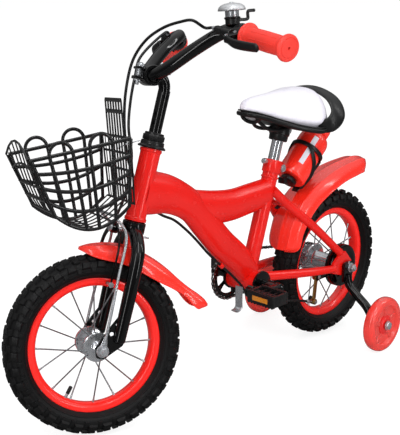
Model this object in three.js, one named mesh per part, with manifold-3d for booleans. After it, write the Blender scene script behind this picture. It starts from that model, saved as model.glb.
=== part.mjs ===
// A child's bicycle with 12 inch wheels, training wheels, basket, bell, bottle and mudguards.
// Millimetres. +X is forward, +Y is the rider's left, +Z is up.
// The pieces are modelled with the rear axle above x = 0 and the ground at z = 0.
import * as THREE from 'three';
import { mergeVertices } from 'three/addons/utils/BufferGeometryUtils.js';
import Module from 'manifold-3d';

const wasm = await Module();
wasm.setup();

// Driving dimensions
const WHEEL_RADIUS = 152;
const WHEELBASE = 628;
const HEAD_ANGLE = 71.5;
const FORK_OFFSET = 24;
const STEER_REST = -25.5;
const SEAT_ANGLE = 72.3;
const CRANK_TO_REAR = 247;
const CRANK_RISE = 20;
const CRANK_HEIGHT = WHEEL_RADIUS + CRANK_RISE;
const CRANK_LENGTH = 80;
const CRANK_REST = 11;
const GAP = 0.3;
const RUNNING = 0.6;
const OVERRUN = 20;
const FUSE = 1;
const MERGE = 0.0001;

// Tyre, rim, hub and spokes
const TYRE = { halfWidth: 27, knob: 4.5, knobs: 12, step: 2 };
const WHEEL_SIDES = TYRE.step * TYRE.knobs;
const RIM_SHARES = { radius: 0.7434, bore: 0.6513 };
const RIM = { radius: RIM_SHARES.radius * WHEEL_RADIUS, bore: RIM_SHARES.bore * WHEEL_RADIUS,
  halfWidth: 13, wall: 2.4 };
const FRONT_HUB = { radius: 11, flange: 27, flangeThick: 3, halfFlange: 26, end: 46, sides: 12 };
const REAR_HUB = { radius: 17, flange: 30, flangeThick: 3, halfFlange: 26, end: 29, sides: 12 };
const SPOKE = { radius: 1.1, perSide: 8, sides: 3 };
const AXLE = { radius: 4.8, sides: 10 };
const NUT = { radius: 8.5, height: 8, washer: 11.5, washerThick: 1.6 };

// Frame tubes
const HEAD_TUBE = { start: 214, length: 122.5, radius: 17, bore: 14.6 };
const CUP = { radius: 19.5, height: 11, lip: 3.5 };
const MAIN_TUBE = { halfHeight: 29, halfWidth: 19, start: 262, sides: 12, steps: 12 };
const TOP_TUBE = { halfHeight: 31, halfWidth: 17, below: 62, sides: 12, steps: 8 };
const SEAT_TUBE = { radius: 15, bore: 11.5, length: 232, sides: 14 };
const COLLAR = { radius: 17.5, height: 24, ear: 9, earThick: 4.5, slot: 3 };
const SHELL = { radius: 21.5, bore: 17, halfWidth: 34, cup: 25, cupThick: 5, sides: 14 };
const CRANK = { radius: 8, armRadius: 8, eye: 11.2, armY: 70, armThick: 12, sides: 10 };
const STAY = { radius: 9, sides: 8, steps: 7, spread: 57 };
const DROPOUT = { thick: 5, size: 34, y: 57 };
// The plate at each end of the rear axle, ahead of the axle and above it
const DROPOUT_SHARES = [[-0.35, -0.4], [-0.35, 0.35], [0.3, 1.05], [0.9, 0.95], [1.5, 0.5], [1.5, -0.1],
  [0.6, -0.4]];

const V = (x, y, z) => new THREE.Vector3(x, y, z);
const rad = THREE.MathUtils.degToRad;
const AXIS_Y = V(0, 1, 0);
const AXIS_Z = V(0, 0, 1);

// The steering axis leans back; "up" runs along it and "ahead" is square to it in the middle plane
const STEER_UP = V(-Math.cos(rad(HEAD_ANGLE)), 0, Math.sin(rad(HEAD_ANGLE)));
const STEER_AHEAD = V(Math.sin(rad(HEAD_ANGLE)), 0, Math.cos(rad(HEAD_ANGLE)));
const REAR_AXLE = V(0, 0, WHEEL_RADIUS);
const CRANK_AXLE = V(CRANK_TO_REAR, 0, CRANK_HEIGHT);
const SEAT_UP = V(-Math.cos(rad(SEAT_ANGLE)), 0, Math.sin(rad(SEAT_ANGLE)));

// A turned front wheel leans, so its axle sits a little lower for the tyre to meet the ground
const LEAN = Math.asin(Math.sin(rad(-STEER_REST)) * Math.cos(rad(HEAD_ANGLE)));
const TYRE_SHARES = [[1, 0.34], [0.965, 0.72], [0.89, 0.98], [0.82, 0.98], [0.747, 0.52],
  [0.747, 0.28], [0.715, 0.28]];
const LEAN_REACH = Math.max(...TYRE_SHARES.map(([r, y]) => WHEEL_RADIUS * r * Math.cos(LEAN)
  + TYRE.halfWidth * y * Math.sin(LEAN)));
const LEAN_LIFT = FORK_OFFSET * Math.cos(rad(HEAD_ANGLE)) * (1 - Math.cos(rad(STEER_REST)));
const FRONT_AXLE = V(WHEELBASE, 0, LEAN_REACH + LEAN_LIFT);
const STEER_FOOT = FRONT_AXLE.clone().addScaledVector(STEER_AHEAD, -FORK_OFFSET);

const steerPoint = (up, ahead = 0, left = 0) => STEER_FOOT.clone()
  .addScaledVector(STEER_UP, up).addScaledVector(STEER_AHEAD, ahead).add(V(0, left, 0));
const seatPoint = (up, left = 0) => CRANK_AXLE.clone().addScaledVector(SEAT_UP, up).add(V(0, left, 0));

// Turns a closed geometry into a solid, with its faces outward
function solid(geometry) {
  const bare = (geometry.index ? geometry : geometry.clone()).clone();
  for (const name of ['normal', 'uv']) if (bare.getAttribute(name)) bare.deleteAttribute(name);
  const merged = mergeVertices(bare, MERGE);
  const place = merged.getAttribute('position');
  const kept = [];
  let volume = 0;
  const corner = [V(0, 0, 0), V(0, 0, 0), V(0, 0, 0)];
  for (let i = 0; i < merged.index.count; i += 3) {
    const [a, b, c] = [0, 1, 2].map((k) => merged.index.getX(i + k));
    if (a === b || b === c || c === a) continue;
    [a, b, c].forEach((v, k) => corner[k].fromBufferAttribute(place, v));
    volume += corner[0].dot(corner[1].clone().cross(corner[2]));
    kept.push(a, b, c);
  }
  if (volume < 0) {
    for (let i = 0; i < kept.length; i += 3) [kept[i], kept[i + 1]] = [kept[i + 1], kept[i]];
  }
  const mesh = new wasm.Mesh({
    numProp: 3,
    vertProperties: Float32Array.from(place.array),
    triVerts: Uint32Array.from(kept),
  });
  return new wasm.Manifold(mesh);
}

const join = (first, ...others) => others.reduce((sum, other) => sum.add(other), first);
const cut = (first, ...others) => others.reduce((sum, other) => sum.subtract(other), first);

function geometryOf(body) {
  const mesh = body.getMesh();
  const geometry = new THREE.BufferGeometry();
  geometry.setAttribute('position', new THREE.BufferAttribute(new Float32Array(mesh.vertProperties), 3));
  geometry.setIndex(new THREE.BufferAttribute(new Uint32Array(mesh.triVerts), 1));
  return geometry;
}

// Stands a geometry made along +Z on a point, with its length along a direction
function stand(geometry, origin, direction = AXIS_Z) {
  const turn = new THREE.Quaternion().setFromUnitVectors(AXIS_Z, direction.clone().normalize());
  return geometry.applyQuaternion(turn).translate(origin.x, origin.y, origin.z);
}

// A solid turned from a profile of [radius, height] pairs
function turned(profile, sides, origin, direction) {
  const points = profile.map(([r, h]) => new THREE.Vector2(r, h));
  return solid(stand(new THREE.LatheGeometry(points, sides).rotateX(Math.PI / 2), origin, direction));
}

const pin = (radius, length, sides, origin, direction) =>
  turned([[0, 0], [radius, 0], [radius, length], [0, length]], sides, origin, direction);
const ring = (radius, bore, length, sides, origin, direction) => turned(
  [[bore, 0], [radius, 0], [radius, length], [bore, length], [bore, 0]], sides, origin, direction);

function rod(from, to, radius, sides) {
  const along = to.clone().sub(from);
  return pin(radius, along.length(), sides, from, along);
}

// A block centred on a point, with its own axes
function block(size, centre, right = V(1, 0, 0), up = AXIS_Z) {
  const depth = up.clone().cross(right);
  const turn = new THREE.Matrix4().makeBasis(right, depth, up).setPosition(centre);
  return solid(new THREE.BoxGeometry(size.x, size.y, size.z).applyMatrix4(turn));
}

function ovalShape(halfAcross, halfSide, sides) {
  const shape = new THREE.Shape();
  for (let i = 0; i < sides; i += 1) {
    const turn = (2 * Math.PI * i) / sides;
    const [x, y] = [halfAcross * Math.cos(turn), halfSide * Math.sin(turn)];
    if (i) shape.lineTo(x, y);
    else shape.moveTo(x, y);
  }
  shape.closePath();
  return shape;
}

// A bar of one section along a smooth curve through points
function sweep(points, shape, steps) {
  const extrudePath = new THREE.CatmullRomCurve3(points, false, 'centripetal');
  return solid(new THREE.ExtrudeGeometry(shape, { steps, bevelEnabled: false, extrudePath }));
}
const pipe = (points, radius, sides, steps) => sweep(points, ovalShape(radius, radius, sides), steps);

// A flat plate cut to an outline in the x-z plane, centred on a given y
function plateXZ(outline, thick, y, holes = []) {
  const shape = new THREE.Shape(outline.map(([x, z]) => new THREE.Vector2(x, z)));
  for (const [x, z, r] of holes) shape.holes.push(new THREE.Path().absarc(x, z, r, 0, 2 * Math.PI, true));
  const geometry = new THREE.ExtrudeGeometry(shape,
    { depth: thick, bevelEnabled: false, curveSegments: 6 });
  return solid(geometry.rotateX(Math.PI / 2).translate(0, y + thick / 2, 0));
}

// A flat plate with windows, made from outlines of [across, up] pairs and laid into a frame
function lattice(outline, windows, thick, frame) {
  const plate = new wasm.CrossSection([outline, ...windows], 'EvenOdd').extrude(thick);
  return solid(geometryOf(plate).applyMatrix4(frame));
}
const framed = (across, up, origin) =>
  new THREE.Matrix4().makeBasis(across, up, across.clone().cross(up)).setPosition(origin);

const FINISH = {
  redPaint: ['#e0241c', 0.25, 0.1],
  redPlastic: ['#f2382a', 0.35, 0],
  blackPaint: ['#121214', 0.25, 0.2],
  blackPlastic: ['#1b1b1e', 0.5, 0],
  tyreRubber: ['#1d1d1f', 0.9, 0],
  chrome: ['#c9cdd2', 0.15, 1],
  zinc: ['#9aa0a6', 0.4, 1],
  brass: ['#b79a55', 0.35, 1],
  whiteVinyl: ['#f2f0f6', 0.5, 0],
  clearRed: ['#f25a5e', 0.2, 0],
  amber: ['#d98a1e', 0.3, 0],
  bellSteel: ['#c4c8cc', 0.2, 0.9],
};

// Cutting can leave crumbs beside a piece: the largest body is the piece
const largest = (body) => body.decompose().reduce((best,
  part) => (part.volume() > best.volume() ? part : best));

function piece(parent, name, body, finish) {
  const [color, roughness, metalness] = FINISH[finish];
  const mesh = new THREE.Mesh(geometryOf(body), new THREE.MeshStandardMaterial({ color, roughness,
    metalness }));
  mesh.name = name;
  parent.add(mesh);
  return mesh;
}

const bike = new THREE.Group();
const steering = new THREE.Group();
bike.add(steering);
const SIDES = [['left', 1], ['right', -1]];

// Frame

const steerEnvelope = (radius, extra = 0) => pin(radius, HEAD_TUBE.length + 2 * extra, 24,
  steerPoint(HEAD_TUBE.start - extra), STEER_UP);

const mainStart = steerPoint(MAIN_TUBE.start);
const mainAlong = CRANK_AXLE.clone().sub(mainStart);
const mainAcross = V(mainAlong.z, 0, -mainAlong.x);
const mainPoint = (along, across) => mainStart.clone()
  .addScaledVector(mainAlong, along).addScaledVector(mainAcross, across);
// Along the line from the head tube to the crank axle, across it, and the height of the section
const MAIN_TUBE_SHARES = [[-0.02, -0.04, 1.5], [0.06, 0.025, 1.42], [0.15, 0.078, 1.2], [0.25, 0.102, 1.06],
  [0.352, 0.108, 1], [0.494, 0.088, 1], [0.675, 0.063, 1], [0.857, 0.055, 1], [0.985, 0.036, 0.96]];
const TOP_TUBE_SHARES = [[0, 0, 1], [0.25, -0.04, 1], [0.5, -0.055, 0.98], [0.75, -0.03, 0.95],
  [1, 0, 0.9]];

const headTubeSolid = () => ring(HEAD_TUBE.radius, HEAD_TUBE.bore, HEAD_TUBE.length, 24,
  steerPoint(HEAD_TUBE.start), STEER_UP);

// An oval tube in the middle plane whose height changes along it
function swelling(points, heights, halfWidth, sides, steps) {
  const path = new THREE.CatmullRomCurve3(points, false, 'centripetal');
  const rings = Array.from({ length: steps + 1 }, (_, i) => {
    const share = i / steps;
    const spot = share * (heights.length - 1);
    const low = Math.min(Math.floor(spot), heights.length - 2);
    const height = heights[low] + (heights[low + 1] - heights[low]) * (spot - low);
    const tangent = path.getTangent(share);
    const across = V(-tangent.z, 0, tangent.x);
    const centre = path.getPoint(share);
    return Array.from({ length: sides }, (__, j) => {
      const turn = (2 * Math.PI * j) / sides;
      return centre.clone().addScaledVector(across, height * Math.cos(turn))
        .add(V(0, halfWidth * Math.sin(turn), 0));
    });
  });
  return loft(rings);
}

// A closed body through rings of points, with flat ends
function loft(rings) {
  const sides = rings[0].length;
  const middle = (ringPoints) => ringPoints.reduce((sum, point) => sum.add(point), V(0, 0, 0))
    .divideScalar(sides);
  const points = [...rings.flat(), middle(rings[0]), middle(rings[rings.length - 1])];
  const [first, last] = [points.length - 2, points.length - 1];
  const faces = [];
  for (let j = 0; j < sides; j += 1) {
    const next = (j + 1) % sides;
    for (let i = 0; i + 1 < rings.length; i += 1) {
      const [a, b, c, d] = [i * sides + j, i * sides + next, (i + 1) * sides + next, (i + 1) * sides + j];
      faces.push(a, b, c, a, c, d);
    }
    const top = (rings.length - 1) * sides;
    faces.push(first, next, j, last, top + j, top + next);
  }
  const geometry = new THREE.BufferGeometry();
  geometry.setAttribute('position', new THREE.BufferAttribute(
    Float32Array.from(points.flatMap((point) => point.toArray())), 3));
  geometry.setIndex(faces);
  return solid(geometry);
}

function mainTubeSolid(grow = 0) {
  const points = MAIN_TUBE_SHARES.map(([along, across]) => mainPoint(along, across));
  const heights = MAIN_TUBE_SHARES.map(([, , share]) => MAIN_TUBE.halfHeight * share + grow);
  return swelling(points, heights, MAIN_TUBE.halfWidth + grow, MAIN_TUBE.sides, MAIN_TUBE.steps);
}

function topTubeSolid(grow = 0) {
  const from = mainPoint(...MAIN_TUBE_SHARES[4]);
  const along = seatPoint(SEAT_TUBE.length - TOP_TUBE.below).sub(from);
  const points = TOP_TUBE_SHARES.map(([share, sag]) => from.clone().addScaledVector(along, share)
    .add(V(0, 0, sag * along.length())));
  const heights = TOP_TUBE_SHARES.map(([, , share]) => TOP_TUBE.halfHeight * share + grow);
  return swelling(points, heights, TOP_TUBE.halfWidth + grow, TOP_TUBE.sides, TOP_TUBE.steps);
}

const shellEnvelope = (radius) => pin(radius, 2 * SHELL.halfWidth + 2 * OVERRUN, SHELL.sides,
  CRANK_AXLE.clone().add(V(0, -SHELL.halfWidth - OVERRUN, 0)), AXIS_Y);
const seatEnvelope = (radius) => pin(radius, SEAT_TUBE.length, SEAT_TUBE.sides, CRANK_AXLE, SEAT_UP);

function seatTubeSolid() {
  const tube = ring(SEAT_TUBE.radius, SEAT_TUBE.bore, SEAT_TUBE.length, SEAT_TUBE.sides, CRANK_AXLE,
    SEAT_UP);
  return cut(tube, shellEnvelope(SHELL.radius + GAP));
}

// The stays run from the crank shell and the seat tube to a plate at each end of the rear axle
const CHAINSTAY_SHARES = [[0.92, 0.4], [0.74, 0.6], [0.45, 0.86], [0.18, 1]];
const SEATSTAY_SHARES = [[1, 0.26], [0.83, 0.36], [0.56, 0.72], [0.14, 1]];
const SEATSTAY = { below: 56, endUp: 11.3 };

function dropoutPlate(side, grow = 0) {
  const { thick, size, y } = DROPOUT;
  const outline = DROPOUT_SHARES.map(([x, z]) => [size * x, WHEEL_RADIUS + size * z]);
  const plate = new wasm.CrossSection([outline]).offset(grow, 'Miter').extrude(thick + 2 * grow);
  const frame = framed(V(1, 0, 0), AXIS_Z, V(0, side * y + thick / 2 + grow, 0));
  return solid(geometryOf(plate).applyMatrix4(frame));
}

// What the crank shell and its cups take up, with the gap to their neighbours
function shellRoom() {
  const { halfWidth, cup, radius } = SHELL;
  const cups = SIDES.map(([, side]) => pin(cup + GAP, OVERRUN, SHELL.sides,
    CRANK_AXLE.clone().add(V(0, side * (halfWidth - FUSE), 0)), AXIS_Y.clone().multiplyScalar(side)));
  return join(shellEnvelope(radius + GAP), ...cups);
}

function chainstaySolid(side) {
  const points = CHAINSTAY_SHARES.map(([x, y]) => V(CRANK_TO_REAR * x, side * STAY.spread * y,
    WHEEL_RADIUS + (CRANK_HEIGHT + STAY.radius - WHEEL_RADIUS) * x));
  const { thick } = DROPOUT;
  const plate = dropoutPlate(side);
  const hole = pin(AXLE.radius + GAP, thick + OVERRUN, AXLE.sides,
    V(0, side * DROPOUT.y - (thick + OVERRUN) / 2, WHEEL_RADIUS), AXIS_Y);
  const tube = pipe(points, STAY.radius, STAY.sides, STAY.steps);
  return cut(join(tube, plate), hole, shellRoom(),
    seatEnvelope(SEAT_TUBE.radius + GAP), mainTubeSolid(GAP));
}

function seatstayTube(side, grow = 0) {
  const top = seatPoint(SEAT_TUBE.length - SEATSTAY.below);
  const low = REAR_AXLE.clone().add(V(0, 0, SEATSTAY.endUp));
  const points = SEATSTAY_SHARES.map(([share, y]) => low.clone().lerp(top, share)
    .add(V(0, side * STAY.spread * y, 0)));
  return pipe(points, STAY.radius + grow, STAY.sides, STAY.steps);
}

function seatstaySolid(side) {
  return cut(seatstayTube(side), dropoutPlate(side, GAP), seatEnvelope(SEAT_TUBE.radius + GAP),
    topTubeSolid(GAP));
}

function shellSolid() {
  const { radius, bore, halfWidth, cup, cupThick, sides } = SHELL;
  const low = CRANK_AXLE.clone().add(V(0, -halfWidth, 0));
  const cupLow = low.clone().add(V(0, -cupThick, 0));
  const cupHigh = CRANK_AXLE.clone().add(V(0, halfWidth - FUSE, 0));
  return join(ring(radius, bore, 2 * halfWidth, sides, low, AXIS_Y),
    ring(cup, CRANK.radius + RUNNING, cupThick + FUSE, sides, cupLow, AXIS_Y),
    ring(cup, CRANK.radius + RUNNING, cupThick + FUSE, sides, cupHigh, AXIS_Y));
}

function seatTubeWithCollar() {
  const from = seatPoint(SEAT_TUBE.length - COLLAR.height);
  const collar = ring(COLLAR.radius, SEAT_TUBE.bore, COLLAR.height, SEAT_TUBE.sides, from, SEAT_UP);
  const behind = V(-Math.sin(rad(SEAT_ANGLE)), 0, -Math.cos(rad(SEAT_ANGLE)));
  const middle = seatPoint(SEAT_TUBE.length - COLLAR.height / 2)
    .addScaledVector(behind, COLLAR.radius + COLLAR.ear / 2 - FUSE);
  const ears = block(V(COLLAR.ear, 2 * COLLAR.earThick + COLLAR.slot, COLLAR.height), middle,
    behind.clone().negate(), SEAT_UP);
  const slot = block(V(COLLAR.ear + COLLAR.radius, COLLAR.slot, COLLAR.height + OVERRUN),
    middle.clone().addScaledVector(behind, -COLLAR.ear / 2 + FUSE), behind.clone().negate(), SEAT_UP);
  return cut(join(seatTubeSolid(), collar, cut(ears, seatEnvelope(SEAT_TUBE.bore + GAP))), slot);
}

function buildFrame() {
  const steerer = steerEnvelope(HEAD_TUBE.radius + GAP, OVERRUN);
  const seat = seatEnvelope(SEAT_TUBE.radius + GAP);
  piece(bike, 'head_tube', headTubeSolid(), 'redPaint');
  const ahead = block(V(1, 1, 1).multiplyScalar(HEAD_TUBE.length * 2),
    steerPoint(HEAD_TUBE.start, HEAD_TUBE.length), STEER_AHEAD, STEER_UP);
  const mainTube = cut(mainTubeSolid(), steerer, ahead, shellEnvelope(SHELL.cup + GAP), seat);
  piece(bike, 'main_tube', largest(mainTube), 'redPaint');
  piece(bike, 'top_tube', cut(topTubeSolid(), mainTubeSolid(GAP), seat), 'redPaint');
  piece(bike, 'seat_tube', seatTubeWithCollar(), 'redPaint');
  piece(bike, 'bottom_bracket_shell', shellSolid(), 'redPaint');
  for (const [name, side] of SIDES) {
    piece(bike, `${name}_chainstay`, chainstaySolid(side), 'redPaint');
    piece(bike, `${name}_seatstay`, seatstaySolid(side), 'redPaint');
  }
}

// Wheels: each turns about its own axle, which lies along Y

const mirrored = (half) => [...half.map(([r, y]) => [r, -y]).reverse(), ...half];

// A closed profile of [radius, side] pairs turned about an axle along Y
function wheelRing(half, sides, centre, shape = (r) => r) {
  const outline = mirrored(half);
  const points = [...outline, outline[0]].map(([r, y]) => new THREE.Vector2(r, y));
  const geometry = new THREE.LatheGeometry(points, sides);
  const place = geometry.getAttribute('position');
  for (let i = 0; i < place.count; i += 1) {
    const [x, z] = [place.getX(i), place.getZ(i)];
    const radius = Math.hypot(x, z);
    const scale = shape(radius, Math.floor(i / points.length)) / radius;
    place.setXYZ(i, x * scale, place.getY(i), z * scale);
  }
  return solid(geometry.translate(centre.x, centre.y, centre.z));
}

// Every other ring of the tread stands up as a knob
function tyreSolid(centre) {
  const half = TYRE_SHARES.map(([r, y]) => [WHEEL_RADIUS * r, TYRE.halfWidth * y]).reverse();
  const tread = WHEEL_RADIUS * TYRE_SHARES[2][0];
  const shape = (radius, step) => (radius > tread && step % TYRE.step ? radius - TYRE.knob : radius);
  return wheelRing(half, WHEEL_SIDES, centre, shape);
}

function rimSolid(centre) {
  const { radius, bore, halfWidth, wall } = RIM;
  const well = radius - 3 * wall;
  const half = [[well, halfWidth - 2 * wall], [radius, halfWidth - wall], [radius, halfWidth],
    [bore + 2 * wall, halfWidth], [bore, halfWidth - 2 * wall]];
  return wheelRing(half, WHEEL_SIDES, centre);
}

function hubSolid(hub, centre) {
  const { radius, flange, flangeThick, halfFlange, sides } = hub;
  const bore = AXLE.radius + RUNNING;
  const half = [[radius, 0], [radius, halfFlange - flangeThick], [flange, halfFlange - flangeThick],
    [flange, halfFlange], [radius, halfFlange], [radius, hub.end], [bore, hub.end]];
  let body = wheelRing(half, sides, centre);
  const stop = RIM.bore * Math.cos(Math.PI / WHEEL_SIDES) - GAP;
  for (const [, side] of SIDES) {
    for (let i = 0; i < SPOKE.perSide; i += 1) {
      const turn = (2 * Math.PI * (i + (side > 0 ? 0 : 1 / 2))) / SPOKE.perSide;
      const spot = (r, y) => V(r * Math.cos(turn), y, r * Math.sin(turn)).add(centre);
      const root = spot(flange - 2 * flangeThick, side * (halfFlange - flangeThick / 2));
      body = join(body, rod(root, spot(stop, side * SPOKE.radius * 2), SPOKE.radius, SPOKE.sides));
    }
  }
  return body;
}

// An axle with its washers and nuts; reach is where the nuts bear on the fork ends or dropouts
function axleSolid(centre, reach) {
  const end = reach + NUT.washerThick + NUT.height + FUSE;
  const at = (y) => centre.clone().add(V(0, y, 0));
  let body = pin(AXLE.radius, 2 * end + 2 * NUT.washerThick, AXLE.sides, at(-end - NUT.washerThick),
    AXIS_Y);
  for (const [, side] of SIDES) {
    const out = AXIS_Y.clone().multiplyScalar(side);
    body = join(body, pin(NUT.washer, NUT.washerThick, AXLE.sides, at(side * (reach + GAP)), out),
      pin(NUT.radius, NUT.height + FUSE, 6, at(side * (reach + GAP + NUT.washerThick - FUSE)), out));
  }
  return body;
}

// Band brake on the left of the rear wheel: a drum on the hub and a fixed dished cover round it
const BRAKE = { drum: 36, drumFrom: 31, drumTo: 42, cover: 43.5, coverFrom: 33, coverTo: 49.5, wall: 2.5,
  sides: 18 };
const BRAKE_ARM = { radius: 6, thick: 5, reach: 78, drop: 6, y: 39, pin: 3, pull: 3.5, tip: 52 };

const rearAt = (y) => REAR_AXLE.clone().add(V(0, y, 0));

function brakeCoverSolid() {
  const { cover, coverFrom, coverTo, wall, sides } = BRAKE;
  const hole = AXLE.radius + GAP;
  const profile = [[hole, coverTo - wall], [cover - wall, coverTo - wall], [cover - wall, coverFrom],
    [cover, coverFrom], [cover, coverTo], [hole, coverTo], [hole, coverTo - wall]];
  const { thick, reach, drop, radius } = BRAKE_ARM;
  const face = BRAKE_ARM.y + thick + GAP;
  const [from, to] = [cover - wall, reach + radius];
  const bracket = block(V(to - from, wall, 2 * radius),
    V((from + to) / 2, face + wall / 2, WHEEL_RADIUS - drop));
  const pivot = pin(BRAKE_ARM.pin, 2 * thick + GAP + FUSE, 10, V(reach, face + FUSE, WHEEL_RADIUS - drop),
    AXIS_Y.clone().negate());
  return join(turned(profile, sides, REAR_AXLE, AXIS_Y), bracket, pivot);
}

const brakeArmPivot = V(BRAKE_ARM.reach, BRAKE_ARM.y, WHEEL_RADIUS - BRAKE_ARM.drop);

function brakeArmSolid() {
  const { radius, thick, tip, y } = BRAKE_ARM;
  const low = brakeArmPivot.clone().add(V(radius, 0, -tip));
  const bar = block(V(2 * radius, thick, tip), brakeArmPivot.clone().lerp(low, 0.5), V(1, 0, 0), AXIS_Z);
  const boss = pin(radius + thick / 2, 2 * thick, 12, V(brakeArmPivot.x, y - thick, brakeArmPivot.z),
    AXIS_Y);
  const anchor = pin(radius, 2 * thick, 8, V(low.x, y - thick, low.z), AXIS_Y);
  const hole = pin(BRAKE_ARM.pin + RUNNING, 2 * thick + OVERRUN, 10,
    V(brakeArmPivot.x, y - thick - OVERRUN / 2, brakeArmPivot.z), AXIS_Y);
  return cut(join(bar, boss, anchor), hole);
}

function buildWheels() {
  piece(steering, 'front_tyre', tyreSolid(FRONT_AXLE), 'tyreRubber');
  piece(steering, 'front_rim', rimSolid(FRONT_AXLE), 'redPaint');
  piece(steering, 'front_hub', hubSolid(FRONT_HUB, FRONT_AXLE), 'zinc');
  piece(steering, 'front_axle', axleSolid(FRONT_AXLE, FORK.plateY + FORK.plateThick / 2 + RACK.eye + GAP),
    'zinc');
  piece(bike, 'rear_tyre', tyreSolid(REAR_AXLE), 'tyreRubber');
  piece(bike, 'rear_rim', rimSolid(REAR_AXLE), 'redPaint');
  const bore = AXLE.radius + RUNNING;
  const drum = ring(BRAKE.drum, bore, BRAKE.drumTo - BRAKE.drumFrom, BRAKE.sides, rearAt(BRAKE.drumFrom),
    AXIS_Y);
  const neck = ring(REAR_HUB.radius, bore, BRAKE.drumTo - REAR_HUB.halfFlange, REAR_HUB.sides,
    rearAt(REAR_HUB.halfFlange), AXIS_Y);
  piece(bike, 'rear_hub', join(hubSolid(REAR_HUB, REAR_AXLE), drum, neck), 'chrome');
  piece(bike, 'rear_axle', axleSolid(REAR_AXLE, TRAINER.plateY + TRAINER.plateThick / 2), 'zinc');
  piece(bike, 'brake_cover', brakeCoverSolid(), 'blackPaint');
  piece(bike, 'brake_arm', brakeArmSolid(), 'brass');
}

// Cranks, pedals, chain

const PEDAL = { from: 85, length: 60, halfX: 21, halfZ: 11, spindle: 4.5, bar: 7 };
const CHAIN = { y: -43, ring: 46, sprocket: 26, width: 6, height: 6, sides: 20 };
const CHAINRING = { thick: 4, hole: 10, holes: 5, holeOrbit: 28 };
const crankSpot = (side) => {
  const turn = rad(CRANK_REST);
  return CRANK_AXLE.clone().add(V(side * CRANK_LENGTH * Math.cos(turn), 0,
    side * CRANK_LENGTH * Math.sin(turn)));
};

function crankSolid() {
  const half = CRANK.armY + CRANK.armThick;
  let body = pin(CRANK.radius, 2 * half, CRANK.sides, CRANK_AXLE.clone().add(V(0, -half, 0)), AXIS_Y);
  for (const [, side] of SIDES) {
    const y = side * (CRANK.armY + CRANK.armThick / 2);
    const tip = crankSpot(side).add(V(0, y, 0));
    const root = CRANK_AXLE.clone().add(V(0, y, 0));
    const along = tip.clone().sub(root);
    const arm = block(V(along.length(), CRANK.armThick, 2 * CRANK.armRadius), root.clone().lerp(tip, 0.5),
      along.clone().normalize(), along.clone().normalize().cross(AXIS_Y));
    const eyes = [root, tip].map((spot) => pin(CRANK.eye, CRANK.armThick, CRANK.sides,
      spot.clone().add(V(0, -CRANK.armThick / 2, 0)), AXIS_Y));
    const out = AXIS_Y.clone().multiplyScalar(side);
    const spindle = pin(PEDAL.spindle, PEDAL.length / 2, 10, tip.clone(), out);
    const head = pin(PEDAL.spindle + 2 * RUNNING, 2 * RUNNING, 10,
      V(tip.x, side * (PEDAL.from - 2 * RUNNING - GAP), tip.z), out);
    body = join(body, arm, ...eyes, spindle, head);
  }
  return body;
}

function pedalSolid(side) {
  const spot = crankSpot(side);
  const middle = V(spot.x, side * (PEDAL.from + PEDAL.length / 2), spot.z);
  const { halfX, halfZ, bar, length } = PEDAL;
  const body = block(V(2 * halfX, length, 2 * halfZ), middle);
  const windows = [-1, 1].map((end) => block(V(halfX - bar - bar / 2, length - 2 * bar,
    2 * halfZ + OVERRUN),
    middle.clone().add(V(end * (halfX - bar + bar / 2) / 2, 0, 0))));
  const depth = PEDAL.length / 2 + RUNNING;
  const bore = pin(PEDAL.spindle + RUNNING, depth + FUSE, 10,
    V(spot.x, side * (PEDAL.from - FUSE), spot.z), AXIS_Y.clone().multiplyScalar(side));
  return cut(body, ...windows, bore);
}

function chainringSolid() {
  const { thick, hole, holes, holeOrbit } = CHAINRING;
  const low = CRANK_AXLE.clone().add(V(0, CHAIN.y - thick / 2, 0));
  let body = ring(CHAIN.ring - GAP, CRANK.radius + GAP, thick, CHAIN.sides, low, AXIS_Y);
  for (let i = 0; i < holes; i += 1) {
    const turn = (2 * Math.PI * (i + 1 / 2)) / holes;
    const at = low.clone().add(V(holeOrbit * Math.cos(turn), -OVERRUN / 2, holeOrbit * Math.sin(turn)));
    body = cut(body, pin(hole, thick + OVERRUN, 8, at, AXIS_Y));
  }
  return body;
}

function sprocketSolid() {
  const { y, sprocket, width, sides } = CHAIN;
  const hubEnd = REAR_HUB.end + GAP;
  const teeth = ring(sprocket - GAP, AXLE.radius + RUNNING, width / 2, sides, rearAt(y - width / 4),
    AXIS_Y);
  const body = ring(sprocket / 2, AXLE.radius + RUNNING, width / 4 - y - hubEnd, sides,
    rearAt(y - width / 4), AXIS_Y);
  return join(teeth, body);
}

// The chain's loop touches both rings on its outer tangents
function chainLoop(grow) {
  const [big, small] = [CHAIN.ring + grow, CHAIN.sprocket + grow];
  const line = CRANK_AXLE.clone().sub(REAR_AXLE);
  const span = Math.hypot(line.x, line.z);
  const slope = Math.atan2(line.z, line.x);
  const lean = Math.acos((big - small) / span);
  const outline = [];
  const arc = (centre, radius, from, to, count) => {
    for (let i = 0; i <= count; i += 1) {
      const turn = slope + from + ((to - from) * i) / count;
      outline.push([centre.x + radius * Math.cos(turn), centre.z + radius * Math.sin(turn)]);
    }
  };
  arc(CRANK_AXLE, big, -lean, lean, CHAIN.sides / 2);
  arc(REAR_AXLE, small, lean, 2 * Math.PI - lean, CHAIN.sides / 2);
  return outline;
}

function chainSolid() {
  const { y, width, height } = CHAIN;
  return cut(plateXZ(chainLoop(height), width, y), plateXZ(chainLoop(1), width + OVERRUN, y));
}

function buildDrive() {
  piece(bike, 'crank', crankSolid(), 'blackPaint');
  piece(bike, 'chainring', chainringSolid(), 'blackPaint');
  piece(bike, 'sprocket', sprocketSolid(), 'zinc');
  piece(bike, 'chain', chainSolid(), 'zinc');
  for (const [name, side] of SIDES) piece(bike, `${name}_pedal`, pedalSolid(side), 'blackPlastic');
}

// Training wheels, each on a bent arm held by the rear axle nut

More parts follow.
